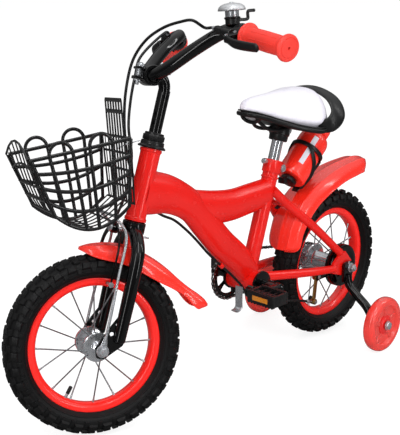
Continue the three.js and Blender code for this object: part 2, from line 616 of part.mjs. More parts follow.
const TRAINER = { plateY: 63.5, plateThick: 6, plateLength: 30, plateHeight: 40, y: 153, width: 24,
  radius: 55.5,
  arm: 9, boss: 14.4, axle: 5, back: 6.8, sides: 18 };
// Outwards from the axle plate to the wheel, and up from the wheel's axle to the bike's
const TRAINER_ARM_SHARES = [[0, 0.84], [0.1, 0.64], [0.42, 0.44], [0.75, 0.26], [1, 0]];

function trainerArmSolid(side) {
  const { plateY, plateThick, plateLength, plateHeight, y, radius, arm, boss: bossLength, axle, back,
    width } = TRAINER;
  const top = V(back, side * plateY, WHEEL_RADIUS);
  const end = V(back, side * (y - width / 2 - arm), radius);
  const across = end.clone().sub(top);
  const points = TRAINER_ARM_SHARES.map(([out, up]) => V(top.x + (end.x - top.x) * out,
    top.y + across.y * out, end.z + (top.z - end.z) * up));
  const tube = pipe(points, arm, 8, 8);
  const plate = block(V(plateLength, plateThick, plateHeight),
    V(back, side * plateY, WHEEL_RADIUS - plateHeight / 6));
  const out = AXIS_Y.clone().multiplyScalar(side);
  const boss = pin(arm + FUSE, bossLength, 12, V(back, end.y - (side * bossLength) / 2, radius), out);
  const pinLength = width + arm + 2 * NUT.washerThick;
  const wheelPin = pin(axle, pinLength, 10, V(back, end.y, radius), out);
  const bolt = pin(NUT.radius, NUT.height / 2, 12,
    V(back, end.y + side * (pinLength - FUSE), radius), out);
  const hole = pin(AXLE.radius + GAP, plateThick + OVERRUN, AXLE.sides,
    V(0, side * plateY - (plateThick + OVERRUN) / 2, WHEEL_RADIUS), AXIS_Y);
  return cut(join(plate, tube, boss, wheelPin, bolt), hole);
}

function trainerWheelSolid(side) {
  const { y, width, radius, axle, back, sides } = TRAINER;
  const round = width / 4;
  const half = [[axle + RUNNING, width / 3], [radius - 3 * round, width / 3],
    [radius - 2 * round, width / 2],
    [radius - round / 2, width / 3], [radius, width / 6]];
  return wheelRing(half, sides, V(back, side * y, radius));
}

function buildTrainers() {
  for (const [name, side] of SIDES) {
    piece(bike, `${name}_training_arm`, trainerArmSolid(side), 'blackPaint');
    piece(bike, `${name}_training_wheel`, trainerWheelSolid(side), 'clearRed');
  }
}

// A sheet with thickness between two grids of points, closed along its edges
function slab(top, bottom) {
  const [rows, columns] = [top.length, top[0].length];
  const points = [...top.flat(), ...bottom.flat()];
  const at = (layer, i, j) => layer * rows * columns + i * columns + j;
  const faces = [];
  const quad = (a, b, c, d) => faces.push(a, b, c, a, c, d);
  for (let i = 0; i + 1 < rows; i += 1) {
    for (let j = 0; j + 1 < columns; j += 1) {
      quad(at(0, i, j), at(0, i + 1, j), at(0, i + 1, j + 1), at(0, i, j + 1));
      quad(at(1, i, j), at(1, i, j + 1), at(1, i + 1, j + 1), at(1, i + 1, j));
    }
    quad(at(0, i, 0), at(1, i, 0), at(1, i + 1, 0), at(0, i + 1, 0));
    quad(at(0, i + 1, columns - 1), at(1, i + 1, columns - 1), at(1, i, columns - 1),
      at(0, i, columns - 1));
  }
  for (let j = 0; j + 1 < columns; j += 1) {
    quad(at(0, 0, j + 1), at(1, 0, j + 1), at(1, 0, j), at(0, 0, j));
    quad(at(0, rows - 1, j), at(1, rows - 1, j), at(1, rows - 1, j + 1), at(0, rows - 1, j + 1));
  }
  const geometry = new THREE.BufferGeometry();
  geometry.setAttribute('position', new THREE.BufferAttribute(
    Float32Array.from(points.flatMap((point) => point.toArray())), 3));
  geometry.setIndex(faces);
  return solid(geometry);
}

// Mudguards: arched sheets round a wheel, given as [angle, share of the gap to the tyre, width share]
const GUARD = { gap: 40, halfWidth: 40, thick: 2.4, crown: 27, bow: 2.4, columns: 6, tab: 25 };
const REAR_GUARD_SHARES = [[24, 0.456, 0.84], [36, 0.684, 0.92], [48, 0.874, 0.98], [60, 0.969, 1],
  [72, 1.007, 1], [84, 1.102, 0.96], [96, 1.292, 0.86], [106, 1.558, 0.72], [113, 1.824, 0.58],
  [118, 1.976, 0.4], [120, 2.014, 0.24]];
const FRONT_GUARD_SHARES = [[87, 0.38, 0.08], [93, 0.418, 0.42], [101, 0.456, 0.62], [111, 0.494, 0.7],
  [122, 0.494, 0.72], [133, 0.532, 0.74], [143, 0.608, 0.68], [152, 0.722, 0.54], [160, 0.912, 0.46],
  [166, 1.14, 0.5], [170, 1.292, 0.46], [172, 1.349, 0.28]];

function guardSolid(centre, shares) {
  const { halfWidth, thick, crown, columns } = GUARD;
  const layer = (inset) => shares.map(([angle, gapShare, widthShare]) => {
    const out = V(Math.cos(rad(angle)), 0, Math.sin(rad(angle)));
    return Array.from({ length: columns + 1 }, (_, j) => {
      const across = (2 * j) / columns - 1;
      const bow = crown * widthShare * Math.abs(across) ** GUARD.bow;
      const side = halfWidth * widthShare * Math.sin((across * Math.PI) / 2) - inset * across;
      return centre.clone().addScaledVector(out,
        WHEEL_RADIUS + GUARD.gap * gapShare - bow - inset * (1 - across * across / 2))
        .add(V(0, side, 0));
    });
  });
  return slab(layer(0), layer(thick));
}

function buildGuards() {
  const rear = cut(guardSolid(REAR_AXLE, REAR_GUARD_SHARES),
    ...SIDES.map(([, side]) => seatstayTube(side, GAP)));
  piece(bike, 'rear_mudguard', rear, 'redPlastic');
  const top = HEAD_TUBE.start - FORK.crownHeight - GAP;
  const tab = block(V(FORK.crown, FORK.crown / 2, GUARD.tab), steerPoint(top - GUARD.tab / 2), STEER_AHEAD,
    STEER_UP);
  const sheet = guardSolid(FRONT_AXLE, FRONT_GUARD_SHARES);
  const front = cut(join(sheet, tab), ...SIDES.map(([, side]) => bladeLeg(side, GAP)));
  piece(steering, 'front_mudguard', largest(front), 'redPlastic');
}

// Saddle: a padded top on a moulded base whose tail rises behind it as a handle
const SADDLE = { edgeShare: 0.96, ahead: 91.5, behind: 94.5, rise: 75, halfWidth: 68, top: 54, columns: 6,
  baseThick: 9, rim: 3 };
// Along the saddle, half width, height of the padding and lift of its lower edge
const SADDLE_SHARES = [[0, 0.1, 0.2, 0.5], [0.05, 0.22, 0.36, 0.48], [0.18, 0.28, 0.5, 0.38],
  [0.34, 0.36, 0.66, 0.22], [0.5, 0.56, 0.84, 0.06], [0.64, 0.82, 0.98, -0.08], [0.78, 0.98, 1.1, -0.16],
  [0.9, 0.96, 1.1, -0.16], [0.98, 0.74, 0.98, -0.1], [1, 0.5, 0.84, -0.06]];
const TAIL = { thick: 9, height: 30, rise: 40, back: 22, drop: 8, steps: 8 };
// Behind the padding, to the side, and up
const TAIL_SHARES = [[-1.6, 0.84, -0.5], [-0.8, 1.12, -0.36], [0, 1.14, 0.06], [0.72, 0.8, 0.64],
  [1, 0, 1]];
const POST = { radius: 11.1, insert: 112, out: 54, sides: 18 };
const seatTop = seatPoint(SEAT_TUBE.length);
const SEAT = { nose: seatTop.x + SADDLE.ahead, tail: seatTop.x - SADDLE.behind,
  base: seatTop.z + SADDLE.rise };
const CLAMP = { radius: 20, height: 26, below: 17.3, sides: 14 };

function saddleLayer(rise, grow = 0, drop = 0) {
  const { halfWidth, top, columns } = SADDLE;
  const { nose, tail, base: seat } = SEAT;
  return SADDLE_SHARES.map(([along, wide, high, lift]) => Array.from({ length: columns + 1 }, (_, j) => {
    const across = (2 * j) / columns - 1;
    const round = Math.sqrt(Math.max(0, 1 - across * across * SADDLE.edgeShare));
    const base = seat + lift * top - drop * (1 - Math.abs(across) ** 2);
    return V(nose + (tail - nose) * along, (halfWidth * wide + grow) * across,
      base + rise * (high * top * round));
  }));
}

function lifted(layer, height) {
  return layer.map((row) => row.map((point) => point.clone().add(V(0, 0, height))));
}

const saddlePadSolid = () => slab(lifted(saddleLayer(1), GAP), saddleLayer(0));

function saddleBaseSolid() {
  const { baseThick, rim, halfWidth } = SADDLE;
  const { tail, base: seat } = SEAT;
  const plate = slab(lifted(saddleLayer(0, rim), -GAP), lifted(saddleLayer(0, rim), -baseThick));
  const arc = [...TAIL_SHARES, ...TAIL_SHARES.slice(0, -1).reverse().map(([x, y, z]) => [x, -y, z])];
  const points = arc.map(([x, y, z]) => V(tail - TAIL.back * x, halfWidth * y,
    seat + TAIL.drop + TAIL.rise * z));
  const tailBar = sweep(points, ovalShape(TAIL.height / 2, TAIL.thick / 2, 6), TAIL.steps);
  const postTop = SEAT_TUBE.length + POST.out;
  const top = seatPoint(postTop);
  const clamp = pin(CLAMP.radius, CLAMP.height, CLAMP.sides, seatPoint(postTop - CLAMP.below), SEAT_UP);
  const bore = pin(POST.radius + GAP, postTop, POST.sides, CRANK_AXLE, SEAT_UP);
  const [pillarLow, pillarHigh] = [top.z - 2 * FUSE, seat - baseThick + FUSE];
  const pillar = block(V(3 * CLAMP.radius, CLAMP.radius, pillarHigh - pillarLow),
    V(top.x - CLAMP.radius / 2, 0, (pillarLow + pillarHigh) / 2));
  const pad = slab(lifted(saddleLayer(1.2, GAP), GAP), lifted(saddleLayer(0, GAP), -GAP));
  return cut(cut(join(plate, clamp, pillar, tailBar), pad), bore);
}

function buildSaddle() {
  piece(bike, 'saddle_pad', saddlePadSolid(), 'whiteVinyl');
  piece(bike, 'saddle_base', saddleBaseSolid(), 'blackPlastic');
  piece(bike, 'seat_post', pin(POST.radius, POST.out + POST.insert, POST.sides,
    seatPoint(SEAT_TUBE.length - POST.insert), SEAT_UP), 'chrome');
}

// Drinks bottle in a cage behind the saddle
const BOTTLE = { radius: 30, edge: 3, length: 108, neck: 17, cap: 20, capLength: 20, spout: 7,
  spoutLength: 12, sides: 14,
  behind: 65.4, clear: 7.7, tilt: 41 };
const CAGE = { thick: 4, width: 16, lip: 14, hoopShare: 0.62, base: 10, below: 46 };
const bottleUp = V(-Math.cos(rad(BOTTLE.tilt)), 0, Math.sin(rad(BOTTLE.tilt)));
// The bottle's axis passes the rear wheel outside its mudguard
const cagePoint = seatPoint(SEAT_TUBE.length - CAGE.below);
const footX = cagePoint.x - BOTTLE.behind;
const axisReach = WHEEL_RADIUS + GUARD.gap + BOTTLE.clear + BOTTLE.radius;
const bottleFoot = V(footX, 0, WHEEL_RADIUS + (axisReach - footX * bottleUp.z) / -bottleUp.x);

function bottleSolid() {
  const { radius, length, neck, cap, capLength, spout, spoutLength, edge, sides } = BOTTLE;
  const shoulder = length - radius / 2;
  const capTop = length + capLength;
  const profile = [[0, 0], [radius - edge, 0], [radius, edge], [radius, shoulder], [neck, length],
    [cap, length], [cap, capTop], [spout, capTop], [spout - edge / 2, capTop + spoutLength],
      [0, capTop + spoutLength]];
  return turned(profile, sides, bottleFoot, bottleUp);
}

// What the seat collar and its ears take up
const collarRoom = () => pin(COLLAR.radius + COLLAR.ear + GAP, COLLAR.height + OVERRUN, SEAT_TUBE.sides,
  seatPoint(SEAT_TUBE.length - COLLAR.height - GAP), SEAT_UP);

function cageSolid() {
  const { radius, length, sides } = BOTTLE;
  const { thick, width, lip, hoopShare, base } = CAGE;
  const hoop = length * hoopShare;
  const bore = radius + GAP;
  const foot = bottleFoot.clone().addScaledVector(bottleUp, -GAP);
  const cup = pin(radius + thick, base + lip, sides, foot.clone().addScaledVector(bottleUp, -base),
    bottleUp);
  const hoopRing = ring(radius + thick, bore, width / 2, sides,
    bottleFoot.clone().addScaledVector(bottleUp, hoop), bottleUp);
  const below = V(-bottleUp.z, 0, bottleUp.x);
  const spine = block(V(hoop + base + width / 2, width, thick),
    bottleFoot.clone().addScaledVector(bottleUp, (hoop - base + width / 2) / 2)
      .addScaledVector(below, bore + thick / 2), bottleUp, below);
  const room = pin(bore, length, sides, foot, bottleUp);
  const [from, to] = [bottleFoot.x + base, cagePoint.x];
  const bracket = block(V(to - from, width, base), V((from + to) / 2, 0, bottleFoot.z));
  return cut(join(cup, cut(hoopRing, room), spine, bracket), room, seatEnvelope(SEAT_TUBE.radius + GAP),
    collarRoom());
}

function buildBottle() {
  piece(bike, 'bottle', bottleSolid(), 'redPlastic');
  piece(bike, 'bottle_cage', cageSolid(), 'blackPlastic');
}

// Fork, stem and handlebar: everything here turns with the front wheel

const FORK = { steerer: 14, bore: 11.1, crown: 19.5, crownHeight: 20, blade: 11.5, spread: 52,
  bladeTop: 150,
  bladeEnd: 21, plateY: 49, plateThick: 5, hole: 3, shoulder: 17, sides: 10, crownSides: 14 };
// How far out the blade stands below the crown, in shares of its full spread
const LEG_SHARES = [0.155, 0.56, 0.9];
const STEM = { radius: 10.5, head: 14.7, ears: 15.3, bolt: 18.7, boltRadius: 3.5, insert: 90, top: 452,
  ahead: 30, clamp: 17, clampWidth: 40, clampHole: 12.5, sides: 12 };
const LOCKNUT = { radius: 20, height: 12, neck: 16, neckHeight: 14, sides: 12 };
// The fork end's outline and holes, up and ahead, in shares of the fork offset
const PLATE_SHARES = [[-0.54, 0.75], [-0.54, 1.29], [0.08, 1.5], [1.67, 0.79], [2.67, 0.25], [2.5, -0.38],
  [0.58, -0.38]];
const HOLE_SHARES = [[1.92, 0.33], [1.25, 0.63]];

const headTop = HEAD_TUBE.start + HEAD_TUBE.length;

function crownSolid() {
  const { steerer, bore, crown, crownHeight, crownSides } = FORK;
  const low = HEAD_TUBE.start - crownHeight;
  const tube = pin(steerer, headTop + LOCKNUT.height - low, crownSides, steerPoint(low), STEER_UP);
  const race = pin(CUP.radius, CUP.height - GAP, crownSides, steerPoint(HEAD_TUBE.start - CUP.height),
    STEER_UP);
  const skirt = pin(crown, crownHeight, crownSides, steerPoint(low), STEER_UP);
  const hole = pin(bore, headTop, 14, steerPoint(low - FUSE), STEER_UP);
  const boltEnd = CALIPER.ahead + 2 * CALIPER.thick + 2 * RUNNING;
  const bolt = pin(CALIPER.bolt, boltEnd - crown + CUP.lip, 10, steerPoint(CALIPER.up, crown - CUP.lip),
    STEER_AHEAD);
  const spacer = pin(2 * CALIPER.bolt, CALIPER.ahead - CALIPER.thick / 2 - RUNNING - crown + CUP.lip, 10,
    steerPoint(CALIPER.up, crown - CUP.lip), STEER_AHEAD);
  const head = pin(2 * CALIPER.bolt, CALIPER.bolt, 6, steerPoint(CALIPER.up, boltEnd), STEER_AHEAD);
  return cut(join(tube, race, skirt, bolt, spacer, head), hole);
}

function bladeLeg(side, grow = 0) {
  const { blade, spread, bladeTop, bladeEnd, shoulder, sides, crownHeight } = FORK;
  const top = HEAD_TUBE.start - CUP.height;
  const [near, mid, wide] = LEG_SHARES.map((share) => side * spread * share);
  const points = [steerPoint(top - crownHeight / 4, 0, near), steerPoint(top - shoulder, 0, mid),
    steerPoint(bladeTop + shoulder, 0, wide),
    steerPoint(bladeTop - shoulder, 0, side * spread), steerPoint(bladeEnd, 0, side * spread)];
  return pipe(points, blade + grow, sides, 10);
}

function bladeSolid(side) {
  const { blade, bladeTop, plateY, plateThick, hole, crownHeight } = FORK;
  const spot = ([up, ahead]) => {
    const point = steerPoint(FORK_OFFSET * up, FORK_OFFSET * ahead);
    return [point.x, point.z];
  };
  const outline = PLATE_SHARES.map(spot);
  const holes = HOLE_SHARES.map((share) => [...spot(share), hole]);
  const plate = plateXZ(outline, plateThick, side * plateY, holes);
  const axleHole = pin(AXLE.radius + GAP, plateThick + OVERRUN, AXLE.sides,
    FRONT_AXLE.clone().add(V(0, side * plateY - (plateThick + OVERRUN) / 2, 0)), AXIS_Y);
  const room = pin(FORK.crown + GAP, crownHeight + OVERRUN, FORK.crownSides,
    steerPoint(HEAD_TUBE.start - crownHeight), STEER_UP);
  const half = block(V(OVERRUN * blade, OVERRUN * blade, OVERRUN * blade),
    steerPoint(bladeTop, 0, -side * (OVERRUN * blade / 2 - GAP / 2)), STEER_AHEAD, STEER_UP);
  return cut(join(bladeLeg(side), plate), axleHole, room, half);
}

function locknutSolid() {
  const { radius, height, neck, neckHeight, sides } = LOCKNUT;
  const from = steerPoint(headTop + GAP);
  const body = turned([[0, 0], [radius + CUP.lip, 0], [radius + CUP.lip, height / 4], [radius, height],
    [neck, height], [neck, height + neckHeight], [0, height + neckHeight]], sides, from, STEER_UP);
  const hole = pin(STEM.radius + GAP, 2 * (height + neckHeight), STEM.sides, from.clone(), STEER_UP);
  const steererRoom = pin(FORK.steerer + GAP, height + GAP, FORK.crownSides,
    from.clone().addScaledVector(STEER_UP, -GAP), STEER_UP);
  return cut(body, hole, steererRoom);
}

const barCentre = steerPoint(STEM.top, STEM.ahead);
const BAR = { radius: 11, sides: 8, steps: 18, gripX: -109, gripY: 150, gripZ: 51, endX: -131, endY: 244,
  endZ: 28 };
const BAR_SHARES = [[0, 0, 0], [0, 0.15, 0], [0.14, 0.28, 0.2], [0.48, 0.48, 0.72], [0.8, 0.62, 1.12],
  [0.9, 0.71, 1.21]];
const GRIP = { radius: 15.5, flange: 21, flangeThick: 4, endThick: 5, sides: 10 };

const gripPoint = (side) => barCentre.clone().add(V(BAR.gripX, side * BAR.gripY, BAR.gripZ));
const barEnd = (side) => barCentre.clone().add(V(BAR.endX, side * BAR.endY, BAR.endZ));
const gripAlong = (side) => barEnd(side).sub(gripPoint(side)).normalize();

function bentBar(radius) {
  const arm = (side) => BAR_SHARES.map(([x, y, z]) => barCentre.clone()
    .add(V(BAR.gripX * x, side * BAR.gripY * y, BAR.gripZ * z)));
  const turn = (side) => gripPoint(side).addScaledVector(gripAlong(side), BAR.radius);
  const points = [turn(1), gripPoint(1), ...arm(1).reverse(), ...arm(-1).slice(1), gripPoint(-1), turn(-1)];
  return pipe(points, radius, BAR.sides, BAR.steps);
}
const barRoom = () => bentBar(BAR.radius + GAP);

function barSolid() {
  const ends = SIDES.map(([, side]) => rod(gripPoint(side),
    barEnd(side).addScaledVector(gripAlong(side), -GRIP.endThick - GAP), BAR.radius, BAR.sides));
  return join(bentBar(BAR.radius), ...ends);
}

function gripSolid(side) {
  const { radius, flange, flangeThick, endThick, sides } = GRIP;
  const length = barEnd(side).distanceTo(gripPoint(side));
  const body = turned([[0, 0], [flange, 0], [flange, flangeThick], [radius, 2 * flangeThick],
    [radius, length - 2 * flangeThick], [flange, length - flangeThick], [flange, length], [0, length]],
  sides, gripPoint(side), gripAlong(side));
  const room = pin(BAR.radius + GAP, length - endThick + OVERRUN, BAR.sides,
    gripPoint(side).addScaledVector(gripAlong(side), -OVERRUN), gripAlong(side));
  return cut(body, room, barRoom());
}

function stemSolid() {
  const { radius, insert, top, ahead, clamp, clampWidth, clampHole, sides } = STEM;
  const quill = pin(radius, top - headTop + insert, sides, steerPoint(headTop - insert), STEER_UP);
  const head = pin(STEM.head, radius * 2, sides, steerPoint(top - radius), STEER_UP);
  const neck = block(V(ahead, radius * 2, radius * 2), steerPoint(top, ahead / 2), STEER_AHEAD, STEER_UP);
  const barrel = pin(clamp, clampWidth, sides, barCentre.clone().add(V(0, -clampWidth / 2, 0)), AXIS_Y);
  const ears = block(V(clamp, clampWidth, radius), steerPoint(top, ahead + STEM.ears), STEER_AHEAD,
    STEER_UP);
  const bolt = pin(STEM.boltRadius, clamp * 2, 8, steerPoint(top - clamp, ahead + STEM.bolt), STEER_UP);
  const hole = pin(clampHole, clampWidth + OVERRUN, sides,
    barCentre.clone().add(V(0, -(clampWidth + OVERRUN) / 2, 0)), AXIS_Y);
  return cut(join(quill, head, neck, barrel, ears, bolt), hole);
}

// Brake lever brackets, levers and bell. "Fore" is square to the grip, ahead and a little down.
const LEVER = { inboard: 22, body: 17, reach: 31, blade: 78, bow: 8, thick: 7, height: 11, barrel: 8,
  dip: 0.25, guide: 0.653 };
const gripFrame = (side) => {
  const out = gripAlong(side);
  const dipped = V(1, 0, -LEVER.dip);
  const fore = dipped.clone().addScaledVector(out, -out.dot(dipped)).normalize();
  return { out, fore, up: fore.clone().cross(out).multiplyScalar(side) };
};
const leverPivot = (side) => {
  const { out, fore } = gripFrame(side);
  return gripPoint(side).addScaledVector(out, -LEVER.inboard / 2).addScaledVector(fore, LEVER.reach);
};

function bracketSolid(side) {
  const { inboard, body, reach, barrel, height } = LEVER;
  const { out, fore, up } = gripFrame(side);
  const middle = gripPoint(side).addScaledVector(out, -inboard / 2 - GAP);
  const collar = pin(body, inboard - GAP, 14, gripPoint(side).addScaledVector(out, -inboard), out);
  const arm = block(V(inboard - GAP, reach - body / 3, height),
    middle.clone().addScaledVector(fore, reach / 2),
    out, up);
  const guideLine = middle.clone().addScaledVector(fore, reach * LEVER.guide);
  const guide = rod(guideLine.clone().addScaledVector(out, -inboard / 3),
    guideLine.clone().addScaledVector(out, -inboard - barrel), height / 2, 8);
  const room = pin(BAR.radius + GAP, 4 * inboard, BAR.sides,
    gripPoint(side).addScaledVector(out, -2 * inboard), out);
  const slot = pin(height / 2 + RUNNING, 2 * height, 12, leverPivot(side).addScaledVector(up, -height), up);
  return largest(cut(join(collar, cut(arm, slot), guide), room, barRoom()));
}

function leverSolid(side) {
  const { blade, bow, thick, height } = LEVER;
  const { out, fore, up } = gripFrame(side);
  const root = leverPivot(side);
  const eye = pin(height / 2, height, 12, root.clone().addScaledVector(up, -height / 2), up);
  const bend = root.clone().addScaledVector(out, blade / 3).addScaledVector(fore, bow);
  const tip = root.clone().addScaledVector(out, blade);
  const arm = sweep([root, bend, tip], ovalShape(thick / 2, height / 2, 8), 6);
  return join(eye, arm);
}

// The bell's dome, in shares of its radius and height
const DOME_SHARES = [[1, 0], [0.86, 0.7], [0.4, 1], [0, 1]];
const BELL = { radius: 22, dome: 11, base: 13, baseHeight: 13, drum: 11, drumHeight: 10, along: -36,
  striker: 7.8, arm: 4,
  reach: 26 };

const bellFoot = () => {
  const { out } = gripFrame(1);
  return gripPoint(1).addScaledVector(out, BELL.along).add(V(0, 0, BAR.radius - FUSE));
};

function bellSolid() {
  const { radius, dome, base, baseHeight, drum, drumHeight } = BELL;
  const foot = bellFoot();
  const profile = [[0, 0], [base, 0], [base, baseHeight], [drum, baseHeight],
    [drum, baseHeight + drumHeight],
    ...DOME_SHARES.map(([wide, high]) => [radius * wide, baseHeight + drumHeight + dome * high])];
  const body = turned(profile, 16, foot);
  return cut(body, barRoom());
}

function strikerSolid() {
  const { base, arm, reach } = BELL;
  const from = bellFoot().add(V(-base - GAP - RUNNING, 0, BELL.striker));
  const lead = from.clone().add(V(-reach / 2, 0, 0));
  const lift = lead.clone().add(V(0, 0, reach / 2));
  return join(rod(from, lead.clone().add(V(-FUSE, 0, 0)), arm / 2, 8), rod(lead, lift, arm / 2, 8),
    rod(lift, lift.clone().add(V(-reach / 2, 0, 0)), arm / 2, 8));
}

// Front caliper brake: two curved arms on one bolt through the crown
const CALIPER = { up: 196, ahead: 30, reach: 92, thick: 5, width: 9, bolt: 3.4, spread: 28, horn: 12,
  shoeGap: 3 };

function caliperSolid(side) {
  const { up, ahead, reach, thick, width, bolt, spread, horn, shoeGap } = CALIPER;
  const layer = side > 0 ? 0 : thick + RUNNING;
  const at = (rise, left) => steerPoint(up + rise, ahead + layer, side * left);
  const arm = sweep([at(0, 0), at(-thick, spread * 2 / 3), at(-reach / 3, spread + width),
    at(-reach, spread + width)],
    ovalShape(thick / 2, width / 2, 6), 8);
  const hornArm = rod(at(0, 0), at(horn, -side * horn), thick / 2, 6);
  const shoeRise = thick / 2 - reach;
  const shoe = rod(at(shoeRise, spread + width), at(shoeRise, RIM.halfWidth + shoeGap), thick / 2, 8);
  const eye = pin(width, thick, 14, steerPoint(up, ahead + layer - thick / 2), STEER_AHEAD);
  const hole = pin(bolt + RUNNING, thick + OVERRUN, 12, steerPoint(up, ahead + layer - OVERRUN / 2),
    STEER_AHEAD);
  return cut(join(arm, eye, hornArm, shoe), hole);
}

function buildSteering() {
  piece(steering, 'fork_crown', crownSolid(), 'blackPaint');
  for (const [name, side] of SIDES) piece(steering, `${name}_fork_blade`, bladeSolid(side), 'blackPaint');
  piece(steering, 'headset_nut', locknutSolid(), 'blackPlastic');
  piece(steering, 'stem', stemSolid(), 'blackPaint');
  piece(steering, 'handlebar', barSolid(), 'blackPaint');
  for (const [name, side] of SIDES) {
    piece(steering, `${name}_grip`, gripSolid(side), 'redPlastic');
    piece(steering, `${name}_lever_bracket`, bracketSolid(side), 'blackPlastic');
    piece(steering, `${name}_brake_lever`, leverSolid(side), 'blackPlastic');
    piece(steering, `${name}_caliper_arm`, caliperSolid(side), 'zinc');
  }
  piece(steering, 'bell', bellSolid(), 'bellSteel');
  piece(steering, 'bell_striker', strikerSolid(), 'blackPlastic');
}

// Brake cables. The rear one runs on a free loop from the left lever to the head tube, and from there
// on clips under the main tube to the arm of the rear brake.
const CABLE = { radius: 2.5, sides: 6, step: 11, lead: 18, way: 100 };
const straightTurn = new THREE.Quaternion().setFromAxisAngle(STEER_UP, rad(STEER_REST));
const atRest = (point) => point.clone().sub(STEER_FOOT).applyQuaternion(straightTurn).add(STEER_FOOT);
const guideEnd = (side, beyond) => {
  const { out, fore } = gripFrame(side);
  return gripPoint(side).addScaledVector(out,
    -LEVER.inboard / 2 - GAP - LEVER.inboard - LEVER.barrel - beyond)
    .addScaledVector(fore, LEVER.reach * LEVER.guide);
};
const waySpot = ([x, y, z]) => V(x, y, z).multiplyScalar(CABLE.way).add(STEER_FOOT);
const cable = (points) => {
  const path = new THREE.CatmullRomCurve3(points, false, 'centripetal');
  return pipe(points, CABLE.radius, CABLE.sides, Math.ceil(path.getLength() / (CABLE.step * CABLE.radius)));
};
const HEAD_SPOT_SHARES = [-0.903, -0.225, 2.591];
const HEAD_TURN_SHARES = [-0.3, 0, -0.95];
const cableHead = (down) => waySpot(HEAD_SPOT_SHARES).add(V(...HEAD_TURN_SHARES).multiplyScalar(down));
const guideLead = (side) => [guideEnd(side, RUNNING), guideEnd(side, CABLE.lead / 2),
  guideEnd(side, CABLE.lead).addScaledVector(gripFrame(side).fore, CABLE.lead / 3)];
// Way points from the foot of the steering axis, in shares of a hundred
const LOOP_WAY_SHARES = [[-1.128, 0.85, 5.33], [-1.1, 0.62, 5.29], [-1.067, 0.28, 5.176],
  [-0.991, -0.03, 4.965], [-0.93, -0.274, 4.629], [-0.813, -0.321, 4.153], [-0.748, -0.299, 3.67],
  [-0.763, -0.274, 3.173], [-0.793, -0.251, 2.958]];
// Along the main tube, across it, and to the left in shares of its half width
const UNDER_WAY_SHARES = [[0.1609, -0.0099, -1.16], [0.2338, -0.0098, -0.736], [0.3057, 0.0045, -0.424],
  [0.4151, 0.0018, -0.208], [0.5065, -0.0102, 0], [0.6096, -0.025, 0.104], [0.7232, -0.0358, 0.32],
  [0.8314, -0.0432, 0.528], [0.9271, -0.0584, 0.792], [1.0108, -0.0855, 1.16], [1.0938, -0.0624, 1.576],
  [1.1998, -0.0135, 1.944], [1.3169, 0.0442, 2.16]];
const FRONT_WAY_SHARES = [[-1.243, -0.701, 4.67], [-1.093, -0.581, 4.39], [-0.912, -0.42, 3.951],
  [-0.792, -0.258, 3.55], [-0.743, -0.076, 3.1], [-0.643, -0.046, 2.7], [-0.532, -0.091, 2.37]];

function buildCables() {
  const loop = guideLead(1).map(atRest);
  loop.push(...LOOP_WAY_SHARES.map(waySpot), cableHead(-CABLE.lead), cableHead(0));
  piece(bike, 'rear_cable_loop', cable(loop), 'blackPlastic');
  const way = UNDER_WAY_SHARES.map(([along, across, left]) => mainPoint(along, across)
    .add(V(0, MAIN_TUBE.halfWidth * left, 0)));
  const lastWay = way[way.length - 1];
  const anchor = V(brakeArmPivot.x + BRAKE_ARM.radius, BRAKE_ARM.y, brakeArmPivot.z - BRAKE_ARM.tip);
  const stopReach = BRAKE_ARM.radius + BRAKE_ARM.pull;
  const stop = lastWay.clone().sub(anchor).normalize().multiplyScalar(stopReach).add(anchor);
  const under = [cableHead(RUNNING), cableHead(CABLE.lead), ...way, stop];
  piece(bike, 'rear_cable', cable(under), 'blackPlastic');
  const front = [...guideLead(-1), ...FRONT_WAY_SHARES.map(waySpot),
    steerPoint(CALIPER.up + CALIPER.horn + CALIPER.thick / 2, CALIPER.ahead, -CALIPER.horn)];
  piece(steering, 'front_cable', cable(front), 'blackPlastic');
}

// Basket: flat lattice sides, a floor of bent wires, and a back with a tall middle
const BASKET = { rear: -49.2, front: 116.8, rearTop: 348, frontTop: 329, floor: 207, floorRear: -39.2,
  floorFront: 84.8, rearLow: 239, frontLow: 239, topY: 78, lowY: 66, bar: 5, thick: 3, rows: 4,
  columns: 5 };
const LOOP = { radius: 21, bar: 5, sides: 7 };
const LOOP_SHARES = [0.31, 0.7];
const FLOOR_WIRE = { radius: 1.8, wires: 5, sides: 3, steps: 7, tipRise: 26 };
const BACK = { halfWidth: 43, rise: 60, bar: 4, thick: 3, slots: 6, levels: 3 };
const RACK = { underShare: 0.14, radius: 2.5, eye: 3, eyeRadius: 14.5, topUp: 193, inset: 15, sides: 5 };

// Heights and distances ahead are taken from the foot of the steering axis.
// A point of a side wall by its share along the bike and its share up
function wallSpot(along, up) {
  const { rear, front, rearTop, frontTop, floor, floorRear, floorFront, rearLow, frontLow } = BASKET;
  const dip = 4 * along * (1 - along);
  const lowZ = rearLow + (frontLow - rearLow) * along - (rearLow - floor) * dip;
  const topZ = rearTop + (frontTop - rearTop) * along;
  const lowX = floorRear + (floorFront - floorRear) * along;
  const x = lowX + (rear + (front - rear) * along - lowX) * up;
  return [STEER_FOOT.x + x, STEER_FOOT.z + lowZ + (topZ - lowZ) * up];
}

